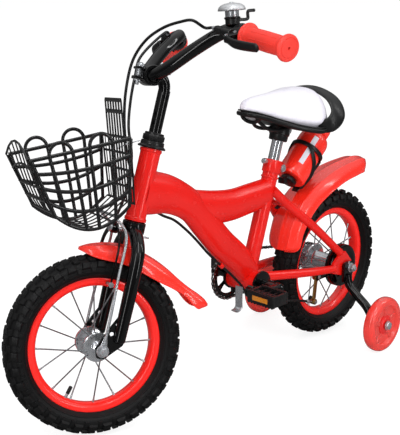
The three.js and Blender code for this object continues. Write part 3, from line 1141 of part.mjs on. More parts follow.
function wallSolid(side) {
  const { rows, columns, bar, thick, topY, lowY, floor, rearTop, front, rear } = BASKET;
  const height = rearTop - floor;
  const steps = Array.from({ length: columns + 1 }, (_, i) => i / columns);
  const outline = [...steps.map((share) => wallSpot(share, 0)), wallSpot(1, 1), wallSpot(0, 1)];
  const span = (i, count, edge) => [i ? i / count + edge : 2 * edge,
    i < count - 1 ? (i + 1) / count - edge : 1 - 2 * edge];
  const windows = [];
  for (let i = 0; i < columns; i += 1) {
    for (let j = 0; j < rows; j += 1) {
      const [a, b] = span(i, columns, bar / (front - rear) / 2);
      const [c, d] = span(j, rows, bar / height / 2);
      windows.push([[a, c], [a, d], [b, d], [b, c]].map(([u, v]) => wallSpot(u, v)));
    }
  }
  let body = lattice(outline, windows, thick, framed(V(1, 0, 0), AXIS_Z, V(0, 0, 0)));
  for (const share of LOOP_SHARES) {
    const [x, z] = wallSpot(share, 1);
    const spot = V(x, -thick, z - bar / 2);
    const loop = ring(LOOP.radius, LOOP.radius - LOOP.bar, thick, 2 * LOOP.sides, spot, AXIS_Y);
    const below = block(V(2 * LOOP.radius, 2 * thick, 2 * LOOP.radius).multiplyScalar(2),
      spot.clone().add(V(0, 0, -2 * LOOP.radius)));
    body = join(body, cut(loop, below));
  }
  const slope = (topY - lowY) / height;
  const foot = side * (lowY - slope * (STEER_FOOT.z + floor)) + (side > 0 ? thick : 0);
  const lean = new THREE.Matrix4().set(1, 0, 0, 0, 0, 1, side * slope, foot, 0, 0, 1, 0, 0, 0, 0, 1);
  return solid(geometryOf(body).applyMatrix4(lean));
}

function floorSolid() {
  const { radius, wires, sides, steps, tipRise } = FLOOR_WIRE;
  const { lowY, topY, thick, rear } = BASKET;
  const inner = lowY - GAP - radius;
  const path = (y) => {
    const share = Math.abs(y) / inner;
    const low = Array.from({ length: 5 }, (_, i) => {
      const [x, z] = wallSpot(i / 4, 0);
      return V(x, y, z + 2 * radius);
    });
    const [midX, midZ] = wallSpot(1, 0.5);
    const [topX, topZ] = wallSpot(1, 1);
    low[0].x = STEER_FOOT.x + rear + thick + radius + GAP;
    return [...low, V(midX + radius, y * (1 + (topY / lowY - 1) / 2), midZ),
      V(topX + radius, y * topY / lowY, topZ + tipRise * (1 - share * share))];
  };
  const levels = Array.from({ length: wires }, (_, i) => inner * ((2 * i) / (wires - 1) - 1));
  const paths = levels.map(path);
  let body = null;
  for (const points of paths) {
    const wire = pipe(points, radius, sides, steps);
    body = body ? join(body, wire) : wire;
  }
  for (let k = 0; k < paths[0].length; k += 2) {
    body = join(body, pipe(paths.map((points) => points[k].clone()), radius, sides, wires - 1));
  }
  return body;
}

function backSolid() {
  const { rear, lowY, topY, floor } = BASKET;
  const { halfWidth, rise, bar, thick, slots, levels } = BACK;
  const [rearLow, rearZ] = [BASKET.rearLow, BASKET.rearTop].map((height) => STEER_FOOT.z + height);
  const top = rearZ + rise;
  const low = lowY + ((topY - lowY) * (BASKET.rearLow - floor)) / (BASKET.rearTop - floor) - GAP;
  const high = topY - GAP;
  const outline = [[-low, rearLow], [low, rearLow], [high, rearZ], [halfWidth, rearZ], [halfWidth, top],
    [-halfWidth, top], [-halfWidth, rearZ], [-high, rearZ]];
  const windows = [];
  const window = (fromY, toY, fromZ, toZ) => windows.push([[fromY, fromZ], [fromY, toZ], [toY, toZ],
    [toY, fromZ]]);
  const pitch = (2 * halfWidth - bar) / slots;
  for (let i = 0; i < slots; i += 1) {
    const from = -halfWidth + bar + i * pitch;
    window(from, from + pitch - bar, rearZ + bar, top - bar);
    window(from, from + pitch - bar, rearLow + bar, rearZ - bar);
  }
  const level = (rearZ - rearLow - bar) / levels;
  for (let j = 0; j < levels; j += 1) {
    const fromZ = rearLow + bar + j * level;
    window(halfWidth + bar, low - bar, fromZ, fromZ + level - bar);
    window(bar - low, -halfWidth - bar, fromZ, fromZ + level - bar);
  }
  return lattice(outline, windows, thick, framed(AXIS_Y, AXIS_Z, V(STEER_FOOT.x + rear, 0, 0)));
}

// Chrome rods from the front axle carry the basket, with a cross rod under its floor
function rackSolid() {
  const { radius, eye, eyeRadius, topUp, inset, sides } = RACK;
  const y = FORK.plateY + FORK.plateThick / 2 + GAP + eye / 2;
  let body = null;
  const ends = [];
  for (const [, side] of SIDES) {
    const ringLow = FRONT_AXLE.clone().add(V(0, side * y - eye / 2, 0));
    const loop = ring(eyeRadius, AXLE.radius + GAP, eye, 14, ringLow, AXIS_Y);
    const start = steerPoint(NUT.washer + FUSE, FORK_OFFSET, side * (y + radius - eye / 2));
    const bend = steerPoint(topUp, FORK_OFFSET, side * (y - inset));
    const [x, z] = wallSpot(RACK.underShare, 0);
    const top = V(x, side * (y - inset), z - radius);
    const knee = start.clone().addScaledVector(STEER_UP, 2 * FORK_OFFSET);
    const rods = pipe([start, knee, bend, top], radius, sides, 8);
    ends.push(top);
    body = body ? join(body, loop, rods) : join(loop, rods);
  }
  return join(body, rod(ends[0], ends[1], radius, sides));
}

function buildBasket() {
  for (const [name, side] of SIDES) piece(steering, `basket_${name}`, wallSolid(side), 'blackPlastic');
  piece(steering, 'basket_floor', floorSolid(), 'blackPlastic');
  piece(steering, 'basket_back', backSolid(), 'blackPlastic');
  piece(steering, 'basket_rack', rackSolid(), 'chrome');
}

buildFrame();
buildWheels();
buildDrive();
buildTrainers();
buildGuards();
buildSaddle();
buildBottle();
buildSteering();
buildBasket();
buildCables();

steering.quaternion.setFromAxisAngle(STEER_UP, rad(STEER_REST));
steering.position.copy(STEER_FOOT).sub(STEER_FOOT.clone().applyQuaternion(steering.quaternion));

// The origin is on the ground, below the middle of the whole bike
bike.updateMatrixWorld(true);
const extent = new THREE.Box3().setFromObject(bike, true);
bike.position.set(-(extent.min.x + extent.max.x) / 2, -(extent.min.y + extent.max.y) / 2, -extent.min.z);

export default bike;
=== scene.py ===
# %% [markdown]
# # A red bike for a small child
# This notebook dresses a plain CAD model of a child's bike: 12 inch wheels, training wheels,
# a wire basket, a bell, a bottle and red plastic mudguards. The CAD model says where each
# piece is and how it moves. Here each piece gets its true surface, its small parts and its finish.

# %% Load the frame
import math

import bmesh
import bpy
from mathutils import Matrix, Vector


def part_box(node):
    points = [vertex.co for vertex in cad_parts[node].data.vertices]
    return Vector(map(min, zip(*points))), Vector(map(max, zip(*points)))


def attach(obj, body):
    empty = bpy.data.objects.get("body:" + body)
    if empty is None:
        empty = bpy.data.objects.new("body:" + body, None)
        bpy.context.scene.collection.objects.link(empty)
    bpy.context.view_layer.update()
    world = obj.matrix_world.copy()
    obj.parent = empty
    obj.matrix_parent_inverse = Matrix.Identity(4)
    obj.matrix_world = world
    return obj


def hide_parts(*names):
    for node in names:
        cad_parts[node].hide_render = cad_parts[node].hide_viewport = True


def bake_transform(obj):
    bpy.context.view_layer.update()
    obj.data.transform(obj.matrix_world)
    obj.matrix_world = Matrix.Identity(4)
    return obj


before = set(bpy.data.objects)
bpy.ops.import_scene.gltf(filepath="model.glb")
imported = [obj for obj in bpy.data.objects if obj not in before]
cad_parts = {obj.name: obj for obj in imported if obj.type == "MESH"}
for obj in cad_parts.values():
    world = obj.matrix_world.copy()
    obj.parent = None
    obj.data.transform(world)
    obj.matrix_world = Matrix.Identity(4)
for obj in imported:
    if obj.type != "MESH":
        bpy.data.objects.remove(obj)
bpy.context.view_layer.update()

# %% [markdown]
# ## Where things are
# A bike is measured from its rear axle, so all sizes below are in millimetres from the
# ground under that axle: x forward, y to the rider's left and z up. One matrix carries
# such a mesh into the shared frame, which is in metres. The front end is modelled looking
# straight ahead and then turned about the slanting head tube, as the real one is.

# %% Places and directions
def middle(node):
    low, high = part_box(node)
    return (low + high) / 2


MM = 0.001
WHEEL_R = 152.0
BACK_X = middle("rear_axle").x
MIDDLE_Y = middle("seat_tube").y
BIKE = Matrix.Translation((BACK_X, MIDDLE_Y, 0)) @ Matrix.Scale(MM, 4)

HEAD_ANGLE = math.radians(71.5)
STEER_UP = Vector((-math.cos(HEAD_ANGLE), 0, math.sin(HEAD_ANGLE)))
STEER_AHEAD = Vector((math.sin(HEAD_ANGLE), 0, math.cos(HEAD_ANGLE)))
LEFT = Vector((0, 1, 0))
STEER_FOOT = Vector((605.24, 0, 144.956))
STEER_REST = math.radians(-25.5)
TURN = (Matrix.Translation(STEER_FOOT) @ Matrix.Rotation(STEER_REST, 4, STEER_UP)
        @ Matrix.Translation(-STEER_FOOT))
STEERED = BIKE @ TURN

REAR_AXLE = Vector((0, 0, WHEEL_R))
FRONT_AXLE = STEER_FOOT + STEER_AHEAD * 24
CRANK_AXLE = Vector((247, 0, 172))
SEAT_ANGLE = math.radians(72.3)
SEAT_UP = Vector((-math.cos(SEAT_ANGLE), 0, math.sin(SEAT_ANGLE)))
SEAT_AHEAD = Vector((SEAT_UP.z, 0, -SEAT_UP.x))
SIDES = (("left", 1), ("right", -1))


def steer_at(up, ahead=0, left=0):
    return STEER_FOOT + STEER_UP * up + STEER_AHEAD * ahead + LEFT * left


def seat_at(up, ahead=0, left=0):
    return CRANK_AXLE + SEAT_UP * up + SEAT_AHEAD * ahead + LEFT * left


def on_side(spot, side):
    return Vector((spot.x, spot.y * side, spot.z))


print("front axle", tuple(round(n, 1) for n in BIKE.inverted() @ (STEERED @ FRONT_AXLE)))

# %% [markdown]
# ## The camera
# The lens is long for such a small thing, so the bike looks nearly flat, as in a shop's
# picture. The distance, the angle and the small shift were worked out from the wheels,
# which are true circles, and from the height of the tyres.

# %% Set the camera
PHOTO_HIGH = 435.0
FOCAL_PX = 1042.95
SHIFT_PX = (9.0, 7.91)
CAMERA_AT = Vector((1680.99, 1205.89, 828.05))
AZIMUTH, ELEVATION, ROLL = (math.radians(n) for n in (133.31, 16.38, 0.33))

lens = bpy.data.cameras.new("camera")
lens.lens = FOCAL_PX / PHOTO_HIGH * lens.sensor_width
lens.shift_x, lens.shift_y = (shift / PHOTO_HIGH for shift in SHIFT_PX)
lens.clip_end = 20
camera = bpy.data.objects.new("camera", lens)
bpy.context.scene.collection.objects.link(camera)
back = Vector((math.sin(AZIMUTH) * math.cos(ELEVATION),
               -math.cos(AZIMUTH) * math.cos(ELEVATION), math.sin(ELEVATION)))
across = Vector((math.cos(AZIMUTH), math.sin(AZIMUTH), 0))
upward = back.cross(across)
tilted = across * math.cos(ROLL) + upward * math.sin(ROLL)
upright = upward * math.cos(ROLL) - across * math.sin(ROLL)
camera.matrix_world = Matrix.Translation(BIKE @ CAMERA_AT) @ Matrix(
    (tilted, upright, back)).transposed().to_4x4()
bpy.context.scene.camera = camera
print("lens", round(lens.lens, 1), "mm")

# %% [markdown]
# ## Studio
# The bike stands on a plain white floor that melts into a white backdrop. Three broad lamps
# hang round it: one high in front, one on the left and one behind. They give the even
# light and aren't seen in the gloss. Gloss paint needs something sharp to reflect, so four
# narrow strips stand round the bike: they draw thin white lines down the tubes.

# %% Floor, backdrop and lamps
scene = bpy.context.scene
scene.view_settings.view_transform = "Standard"


def lamp(name, spot, size, watts, tall=None, aim=(0, 0, 0.3)):
    """A soft lamp that looks at a point, a strip if it is tall; in metres."""
    data = bpy.data.lights.new(name, "AREA")
    data.shape, data.size, data.energy = "RECTANGLE", size, watts
    data.size_y = tall or size
    made = bpy.data.objects.new(name, data)
    scene.collection.objects.link(made)
    made.location = spot
    made.rotation_mode = "QUATERNION"
    made.rotation_quaternion = (Vector(aim) - Vector(spot)).to_track_quat("-Z", "Y")
    made.visible_glossy = tall is not None
    return made


lamp("key", (1.6, 0.5, 2.2), 0.9, 26)
lamp("side", (-0.2, 2.4, 1.3), 1.0, 16)
lamp("back", (-1.8, -1.2, 1.9), 1.2, 16)
lamp("strip_front", (1.9, 0.5, 0.9), 0.13, 6, 1.7)
lamp("strip_side", (0.1, 2.1, 0.9), 0.15, 7, 1.5)
lamp("strip_above", (0.5, 0.7, 2.0), 0.16, 5, 1.4)
lamp("strip_back", (-1.5, 1.3, 1.6), 0.14, 6, 1.5)

floor_mesh = bpy.data.meshes.new("floor")
FLOOR_HALF = 60
build = bmesh.new()
bmesh.ops.create_grid(build, x_segments=2, y_segments=2, size=FLOOR_HALF)
build.to_mesh(floor_mesh)
build.free()
floor = bpy.data.objects.new("floor", floor_mesh)
scene.collection.objects.link(floor)
print("three lamps, four strips and a floor")

# %% [markdown]
# ## Words for shader maths
# A finish is a small sum of noises, masks and colours. Blender draws such a sum as a web of
# nodes, which is hard to read as text. This class wraps one socket, so that `mask * 0.3 + 0.2`
# or `1 - mask` writes the Math nodes by itself. Every other node comes from `node`.

# %% A socket that can be written in sums
class Flow:
    """One output socket of a shader node."""

    def __init__(self, tree, socket):
        self.tree, self.socket = tree, socket

    def node(self, kind, settings=None, sockets=None, out=0):
        made = self.tree.nodes.new("ShaderNode" + kind)
        for name, value in (settings or {}).items():
            setattr(made, name, value)
        for name, value in (sockets or {}).items():
            if isinstance(value, Flow):
                self.tree.links.new(value.socket, made.inputs[name])
            else:
                made.inputs[name].default_value = value
        return Flow(self.tree, made.outputs[out])

    def math(self, operation, first, second):
        return self.node("Math", {"operation": operation}, {0: first, 1: second})

    def __add__(self, other):
        return self.math("ADD", self, other)

    def __sub__(self, other):
        return self.math("SUBTRACT", self, other)

    def __rsub__(self, other):
        return self.math("SUBTRACT", other, self)

    def __mul__(self, other):
        return self.math("MULTIPLY", self, other)

    def over(self, edge, soft=0.05):
        """0 below an edge and 1 above it, with a soft step."""
        return self.node("MapRange", {"interpolation_type": "SMOOTHSTEP"},
                         {"Value": self, "From Min": edge - soft, "From Max": edge + soft})

    def noise(self, scale, detail=3.0, stretch=None):
        """Cloudy noise from 0 to 1 at a point; scale counts its spots in a metre."""
        spot = self if stretch is None else self.node(
            "Mapping", {}, {"Vector": self, "Scale": stretch})
        return self.node("TexNoise", {}, {"Vector": spot, "Scale": scale, "Detail": detail})

    def cells(self, scale, feature="F1"):
        return self.node("TexVoronoi", {"feature": feature}, {"Vector": self, "Scale": scale})

    def tint(self, low, high):
        """A colour between two, by this value."""
        return self.node("Mix", {"data_type": "RGBA"}, {0: self, 6: low, 7: high}, out=2)

    def bump(self, depth, strength):
        """A normal from this height; depth in metres."""
        return self.node("Bump", {}, {"Height": self, "Distance": depth, "Strength": strength})

    def into(self, shader, socket):
        self.tree.links.new(self.socket, shader.inputs[socket])


def colour(red, green, blue):
    """A colour as a picture shows it, 0 to 255, in the linear light that a shader wants."""
    def linear(n):
        n /= 255
        return n / 12.92 if n <= 0.04045 else ((n + 0.055) / 1.055) ** 2.4
    return (linear(red), linear(green), linear(blue), 1.0)


def start_finish(name, **steady):
    """A material, its shader and the place on the bike; steady values go on the sockets."""
    made = bpy.data.materials.new(name)
    made.use_nodes = True
    tree = made.node_tree
    shader = tree.nodes["Principled BSDF"]
    for socket, value in steady.items():
        shader.inputs[socket.replace("_", " ")].default_value = value
    return made, shader, Flow(tree, tree.nodes.new("ShaderNodeTexCoord").outputs["Object"])


BIKE_RED = colour(216, 18, 9)
print("the bike's red is", tuple(round(n, 3) for n in BIKE_RED[:3]))

# %% [markdown]
# ## Gloss paint
# The frame is sprayed red and the fork, bar and cranks black, both under a clear lacquer.
# Real paint is never one flat colour: it pools a little, has a fine orange-peel skin and
# picks up hairline scratches. The lacquer is the shader's own coat, which stays steady.

# %% Red and black gloss paint
def gloss_paint(name, tone, deep, rough=0.22, coat=0.4, coat_rough=0.1, gloss=0.5):
    made, shader, place = start_finish(name, Coat_Weight=coat, Coat_Roughness=coat_rough,
                                       Specular_IOR_Level=gloss)
    pooled = place.noise(14, 4)
    flecks = place.noise(900, 2)
    hairs = place.noise(60, 6, stretch=(1, 9, 1)).over(0.66, 0.03)
    (pooled.over(0.5, 0.3) * 0.45 + hairs * 0.1).tint(tone, deep).into(shader, "Base Color")
    (flecks * 0.04 + pooled * 0.08 + hairs * 0.08 + (rough - 0.06)).into(shader, "Roughness")
    place.noise(420, 1).bump(0.00003, 0.35).into(shader, "Normal")
    return made


red_paint = gloss_paint("red_paint", BIKE_RED, colour(200, 12, 6), 0.26, 0.35, 0.16, 0.4)
rim_paint = gloss_paint("rim_paint", colour(246, 30, 22), colour(232, 20, 14))
black_paint = gloss_paint("black_paint", colour(3, 3, 4), colour(2, 2, 2), 0.12, 0.4, 0.03, 0.28)
print("paints:", red_paint.name, rim_paint.name, black_paint.name)

# %% [markdown]
# ## Moulded plastic and rubber
# The mudguards, grips and bottle are a lighter, more orange red than the paint, with a soft
# shine and faint flow marks from the mould. The levers, pedals and saddle base are black
# with a fine spark grain. Tyre rubber is dull, a little grey where it is dusty, and has a
# fine mould texture.

# %% Plastics, rubber and cable sheath
def moulded(name, tone, deep, rough, grain, depth, coat=0.0, gloss=0.5):
    made, shader, place = start_finish(name, Coat_Weight=coat, Coat_Roughness=0.12,
                                       Specular_IOR_Level=gloss)
    flow = place.noise(9, 4, stretch=(1, 1, 3))
    sparks = place.noise(grain, 2)
    scuffs = place.noise(130, 6, stretch=(1, 5, 1)).over(0.64, 0.04)
    (flow.over(0.5, 0.35) * 0.5 + sparks * 0.15).tint(tone, deep).into(shader, "Base Color")
    (sparks * 0.12 + flow * 0.08 + scuffs * 0.14 + (rough - 0.1)).into(shader, "Roughness")
    sparks.bump(depth, 0.6).into(shader, "Normal")
    return made


red_plastic = moulded("red_plastic", colour(246, 44, 28), colour(234, 30, 20), 0.24, 700, 0.00003, 0.8)
grip_rubber = moulded("grip_rubber", colour(226, 52, 40), colour(206, 40, 30), 0.44, 1500, 0.00008)
black_plastic = moulded("black_plastic", colour(16, 16, 17), colour(8, 8, 9), 0.34, 1300, 0.00006)
basket_coat = moulded("basket_coat", colour(12, 12, 13), colour(6, 6, 7), 0.24, 500, 0.00006, 0.3)
cable_sheath = moulded("cable_sheath", colour(14, 14, 15), colour(8, 8, 9), 0.34, 900, 0.00003)
tyre_rubber = moulded("tyre_rubber", colour(12, 12, 13), colour(7, 7, 8), 0.52, 1100, 0.00012, gloss=0.3)
grey_plastic = moulded("grey_plastic", colour(150, 150, 153), colour(118, 118, 121), 0.4, 900, 0.00005)
print("plastics and rubber made")

# %% [markdown]
# ## Metals
# Nuts and the basket's rods are zinc plated: grey, a little cloudy, with small bright
# crystals. Spokes are duller. The seat post and the hubs are chrome, the bell's dome is a paler satin steel
# and the brake's arm is dull brass. Each is a metal whose roughness and tone drift slightly.

# %% Plated metals
CRYSTALS = 260


def plated(name, tone, deep, rough, drift, depth=0.00003, metal=1.0):
    made, shader, place = start_finish(name, Metallic=metal)
    cloud = place.noise(45, 5)
    facets = place.cells(CRYSTALS)
    (cloud.over(0.5, 0.3) * 0.6 + facets * 0.25).tint(tone, deep).into(shader, "Base Color")
    (cloud * drift + facets * (drift * 0.6) + (rough - drift * 0.6)).into(shader, "Roughness")
    (cloud * 0.6 + facets * 0.4).bump(depth, 0.5).into(shader, "Normal")
    return made


zinc = plated("zinc", colour(214, 217, 221), colour(168, 172, 177), 0.26, 0.18, metal=0.84)
spoke_steel = plated("spoke_steel", colour(168, 170, 174), colour(128, 130, 134), 0.42, 0.12)
chrome = plated("chrome", colour(222, 224, 228), colour(186, 189, 194), 0.1, 0.06, depth=0.000004, metal=0.84)
brass = plated("brass", colour(198, 164, 98), colour(140, 112, 62), 0.36, 0.18)
chain_steel = plated("chain_steel", colour(120, 118, 114), colour(70, 66, 62), 0.42, 0.2)
pale_steel = plated("pale_steel", colour(244, 245, 247), colour(224, 226, 229), 0.5, 0.1)
print("metals made")

# %% [markdown]
# ## Vinyl and clear plastics
# The saddle's cover is white vinyl with a soft pebble grain a millimetre across. A faint lilac
# painted shade darkens the hollows of the grain and its crease lines. The training wheels are
# clear red plastic, so light goes into them and comes out tinted. The pedal reflector is amber
# with small prisms.

# %% Vinyl, clear red and amber
white_vinyl, vinyl, spot = start_finish("white_vinyl", Coat_Weight=0.15, Coat_Roughness=0.3)
pebbles_and_hollow_shade = spot.cells(950, "SMOOTH_F1")
creases_and_shade = spot.noise(70, 6).over(0.6, 0.08)
# Painted shade: the hollows of the pebble grain and the crease lines are painted a darker lilac.
(pebbles_and_hollow_shade * 0.5 + creases_and_shade * 0.3).tint(colour(228, 226, 234), colour(202, 198, 214)).into(vinyl, "Base Color")
(pebbles_and_hollow_shade * 0.15 + spot.noise(12) * 0.1 + 0.3).into(vinyl, "Roughness")
(1 - pebbles_and_hollow_shade + creases_and_shade * -0.4).bump(0.00025, 0.55).into(vinyl, "Normal")


def clear(name, tone, deep, rough, depth, scale, clearness):
    made, shader, place = start_finish(name, Transmission_Weight=clearness, IOR=1.48,
                                       Coat_Weight=1.0, Coat_Roughness=0.05)
    swirl = place.noise(30, 4)
    prisms = place.cells(scale)
    (swirl.over(0.5, 0.3) * 0.7).tint(tone, deep).into(shader, "Base Color")
    (prisms * 0.1 + swirl * 0.08 + rough).into(shader, "Roughness")
    (prisms + swirl).bump(depth, 0.6).into(shader, "Normal")
    return made


clear_red = clear("clear_red", colour(255, 84, 74), colour(252, 56, 50), 0.12, 0.0001, 400, 0.4)
amber = clear("amber", colour(206, 128, 24), colour(168, 92, 10), 0.12, 0.0006, 520, 0.15)
print("vinyl and clear plastics made")

# %% [markdown]
# ## White all round
# The picture has a plain white ground. The world's light on the bike is gentle. Gloss sees
# a room with dark walls and a pale ceiling, which keeps the black parts black and gives the
# chrome its contrast. A ray from the camera or through clear plastic sees full white. The
# floor is white too and keeps a soft shadow under the wheels. A share of its own glow, for
# such rays alone, carries it over into the backdrop.

# %% World and floor
def seen_rays(tree):
    """1 for rays from the camera and through clear plastic."""
    path = tree.nodes.new("ShaderNodeLightPath")
    camera_ray, clear_ray = (Flow(tree, path.outputs[name]) for name in (
        "Is Camera Ray", "Is Transmission Ray"))
    return camera_ray.math("MAXIMUM", camera_ray, clear_ray)


def gloss_rays(tree):
    """1 for rays that bounce off gloss."""
    return Flow(tree, tree.nodes.new("ShaderNodeLightPath").outputs["Is Glossy Ray"])


world = bpy.data.worlds.new("studio")
world.use_nodes = True
scene.world = world
sky = world.node_tree
seen = seen_rays(sky)
ROOM_LIGHT, WALL_IN_GLOSS, ROOF_IN_GLOSS, FLOOR_IN_GLOSS = 0.6, 0.1, 0.75, 0.15
direction = Flow(sky, sky.nodes.new("ShaderNodeTexCoord").outputs["Generated"])
height = direction.node("SeparateXYZ", {}, {"Vector": direction}, out=2)
in_gloss = height.over(0.5, 0.4) * (ROOF_IN_GLOSS - WALL_IN_GLOSS) + WALL_IN_GLOSS
strength = gloss_rays(sky) * (in_gloss - ROOM_LIGHT) + ROOM_LIGHT
room = seen.node("Background", {}, {"Color": (1, 1, 1, 1), "Strength": strength})
white = seen.node("Background", {}, {"Color": (1, 1, 1, 1), "Strength": 1.0})
both = seen.node("MixShader", {}, {0: seen, 1: room, 2: white})
sky.links.new(both.socket, sky.nodes["World Output"].inputs["Surface"])

ground = bpy.data.materials.new("floor")
ground.use_nodes = True
web = ground.node_tree
seen = seen_rays(web)
FLOOR_GLOW, GLOW_SHARE = 1.2, 0.7
grey = gloss_rays(web).tint((0.9, 0.9, 0.9, 1), (FLOOR_IN_GLOSS,) * 3 + (1,))
matt = seen.node("BsdfDiffuse", {}, {"Color": grey})
glow = seen.node("Emission", {}, {"Color": (1, 1, 1, 1), "Strength": FLOOR_GLOW})
both = seen.node("MixShader", {}, {0: seen * GLOW_SHARE, 1: matt, 2: glow})
web.links.new(both.socket, web.nodes["Material Output"].inputs["Surface"])
floor_mesh.materials.append(ground)
print("white world, floor glow", FLOOR_GLOW * GLOW_SHARE)

# %% [markdown]
# ## Tools for making shapes
# Most of a bike is tube, turned metal or sheet. Three small helpers make all three from
# rings of points: a tube carries a ring along a path, a turning spins a profile about an
# axis, and a loft joins rings that are given one by one. Each adds to a bmesh in
# millimetres, so that one piece can hold several forms and finishes.

# %% Rings, tubes and turnings
def circle(count):
    """Angles evenly round a full turn."""
    return [2 * math.pi * k / count for k in range(count)]


def ray_at(turn):
    """A direction in the wheels' plane, turned up from straight ahead."""
    return Vector((math.cos(turn), 0, math.sin(turn)))


def pin_profile(radius, low, high):
    """A plain round bar for add_turning."""
    return [(0, low), (radius, low), (radius, high), (0, high)]


def ring_profile(inner, outer, low, high):
    """A plain ring for add_turning."""
    return [(inner, low), (outer, low), (outer, high), (inner, high)]


def bevelled(inner, outer, low, high, across, along):
    """A ring, or a pin if inner is 0, with its outer edges cut by across and along."""
    return [(inner, low), (outer - across, low), (outer, low + along), (outer, high - along),
            (outer - across, high), (inner, high)]


def add_rings(shape, rings, closed=False, finish=0):
    """Skins over rings of points that have the same count, with a cap on each open end."""
    rows = [[shape.verts.new(spot) for spot in ring] for ring in rings]
    count = len(rows[0])
    pairs = list(zip(rows, rows[1:])) + ([(rows[-1], rows[0])] if closed else [])
    faces = [shape.faces.new((a[j], a[(j + 1) % count], b[(j + 1) % count], b[j]))
             for a, b in pairs for j in range(count)]
    if not closed:
        faces += [shape.faces.new(rows[0][::-1]), shape.faces.new(rows[-1])]
    for face in faces:
        face.material_index = finish


def side_axes(axis, hint=LEFT):
    """Two directions square to an axis; the first lies nearest to the hint."""
    first = hint - axis * hint.dot(axis)
    if first.length < 1e-3:
        first = Vector((1, 0, 0)) - axis * axis.x
    first.normalize()
    return first, axis.cross(first)


def add_tube(shape, path, radius, sides=16, flat=1.0, hint=LEFT, closed=False, finish=0):
    """A tube along a path; radius may be a list, and flat narrows it across the hint."""
    path = [Vector(spot) for spot in path]
    count = len(path)
    sizes = list(radius) if hasattr(radius, "__len__") else [radius] * count
    rings, first = [], None
    for i, spot in enumerate(path):
        before = path[i - 1] if i or closed else spot
        after = path[(i + 1) % count] if i + 1 < count or closed else spot
        along = (after - before).normalized()
        first, second = side_axes(along, first or hint)
        rings.append([spot + (first * math.cos(turn) + second * math.sin(turn) * flat) * sizes[i]
                      for turn in circle(sides)])
    add_rings(shape, rings, closed, finish)


def add_turning(shape, profile, centre, axis, sides=32, closed=False, finish=0):
    """A profile of (radius, height) pairs turned about an axis through a centre."""
    axis = Vector(axis).normalized()
    first, second = side_axes(axis)
    rings = [[centre + axis * high + (first * math.cos(turn) + second * math.sin(turn)) * max(out, 0.01)
              for turn in circle(sides)] for out, high in profile]
    add_rings(shape, rings, closed, finish)


def add_block(shape, size, centre, right=Vector((1, 0, 0)), up=Vector((0, 0, 1)), soft=0.8, finish=0):
    """A block with rounded edges, with its own axes."""
    right, up = right.normalized(), up.normalized()
    matrix = Matrix((right, up.cross(right), up)).transposed().to_4x4()
    matrix = Matrix.Translation(centre) @ matrix @ Matrix.Diagonal((*size, 1))
    made = bmesh.ops.create_cube(shape, size=1, matrix=matrix)
    edges = {edge for vert in made["verts"] for edge in vert.link_edges}
    for face in {face for edge in edges for face in edge.link_faces}:
        face.material_index = finish
    bmesh.ops.bevel(shape, geom=list(edges), offset=soft, segments=2, affect="EDGES", profile=0.5)


def smooth_path(points, steps=8):
    """A curve through points, with some steps for each stretch between two of them."""
    points = [Vector(spot) for spot in points]
    path = []
    for i, ends in enumerate(zip(points, points[1:])):
        before = points[i - 1] if i else ends[0] * 2 - ends[1]
        after = points[i + 2] if i + 2 < len(points) else ends[1] * 2 - ends[0]
        g = [max((b - a).length ** 0.5, 1e-3) for a, b in ((before, ends[0]), ends, (ends[1], after))]
        leave = ((ends[0] - before) / g[0] - (ends[1] - before) / (g[0] + g[1])
                 + (ends[1] - ends[0]) / g[1]) * g[1]
        meet = ((ends[1] - ends[0]) / g[1] - (after - ends[0]) / (g[1] + g[2])
                + (after - ends[1]) / g[2]) * g[1]
        for t in (k / steps for k in range(steps)):
            path.append(ends[0] * (2 * t ** 3 - 3 * t * t + 1) + leave * (t ** 3 - 2 * t * t + t)
                        + ends[1] * (3 * t * t - 2 * t ** 3) + meet * (t ** 3 - t * t))
    return path + [points[-1]]


MERGE_GAP = 0.002


def piece(name, shape, body, finishes, stands_for=(), place=BIKE, sharp=38):
    """Closes a shape into an object that rides on a body and stands for CAD nodes."""
    bmesh.ops.remove_doubles(shape, verts=shape.verts, dist=MERGE_GAP)
    bmesh.ops.recalc_face_normals(shape, faces=shape.faces)
    mesh = bpy.data.meshes.new(name)
    shape.to_mesh(mesh)
    shape.free()
    mesh.transform(place)
    for finish in finishes:
        mesh.materials.append(finish)
    mesh.shade_smooth()
    mesh.set_sharp_from_angle(angle=math.radians(sharp))
    made = bpy.data.objects.new(name, mesh)
    scene.collection.objects.link(made)
    if body:
        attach(made, body)
    if stands_for:
        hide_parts(*stands_for)
    return made


print("helpers ready")

# %% [markdown]
# ## Knobbly tyres
# A 12 inch balance tyre has a round black casing with rows of small rubber blocks: pairs
# down the middle that alternate left and right, and chunky lugs on each shoulder that run
# down the wall. The casing is a turned profile. One block is a tapered loft, and it is
# copied round the casing, because blocks give the ragged edge that a bump map can't.

# %% Tyres
TYRE_WALL = [(113.2, 12.6), (114.6, 14.6), (117.0, 16.4), (118.0, 18.6), (122.0, 22.2), (128.0, 24.2),
             (134.0, 23.6), (139.5, 20.6), (143.6, 15.4), (146.2, 8.6), (147.0, 0.0)]
PITCHES = 34
# Each row of blocks: its share of the pitch, radius, offset, tilt, length, width, height and skew
LUGS = [(0, 146.2, 5.6, 0.16, 12.5, 8.4, 4.9, 2.5), (0.5, 143.0, 14.6, 0.62, 11.0, 7.6, 4.8, -2.0),
        (0.06, 136.4, 21.6, 1.02, 14.0, 10.5, 4.2, 1.5), (0.5, 129.6, 23.2, 1.36, 7.0, 8.0, 2.6, 0)]
WALL_LINES = ((119.6, 20.6), (125.6, 23.6))
TYRE_SIDES = 120


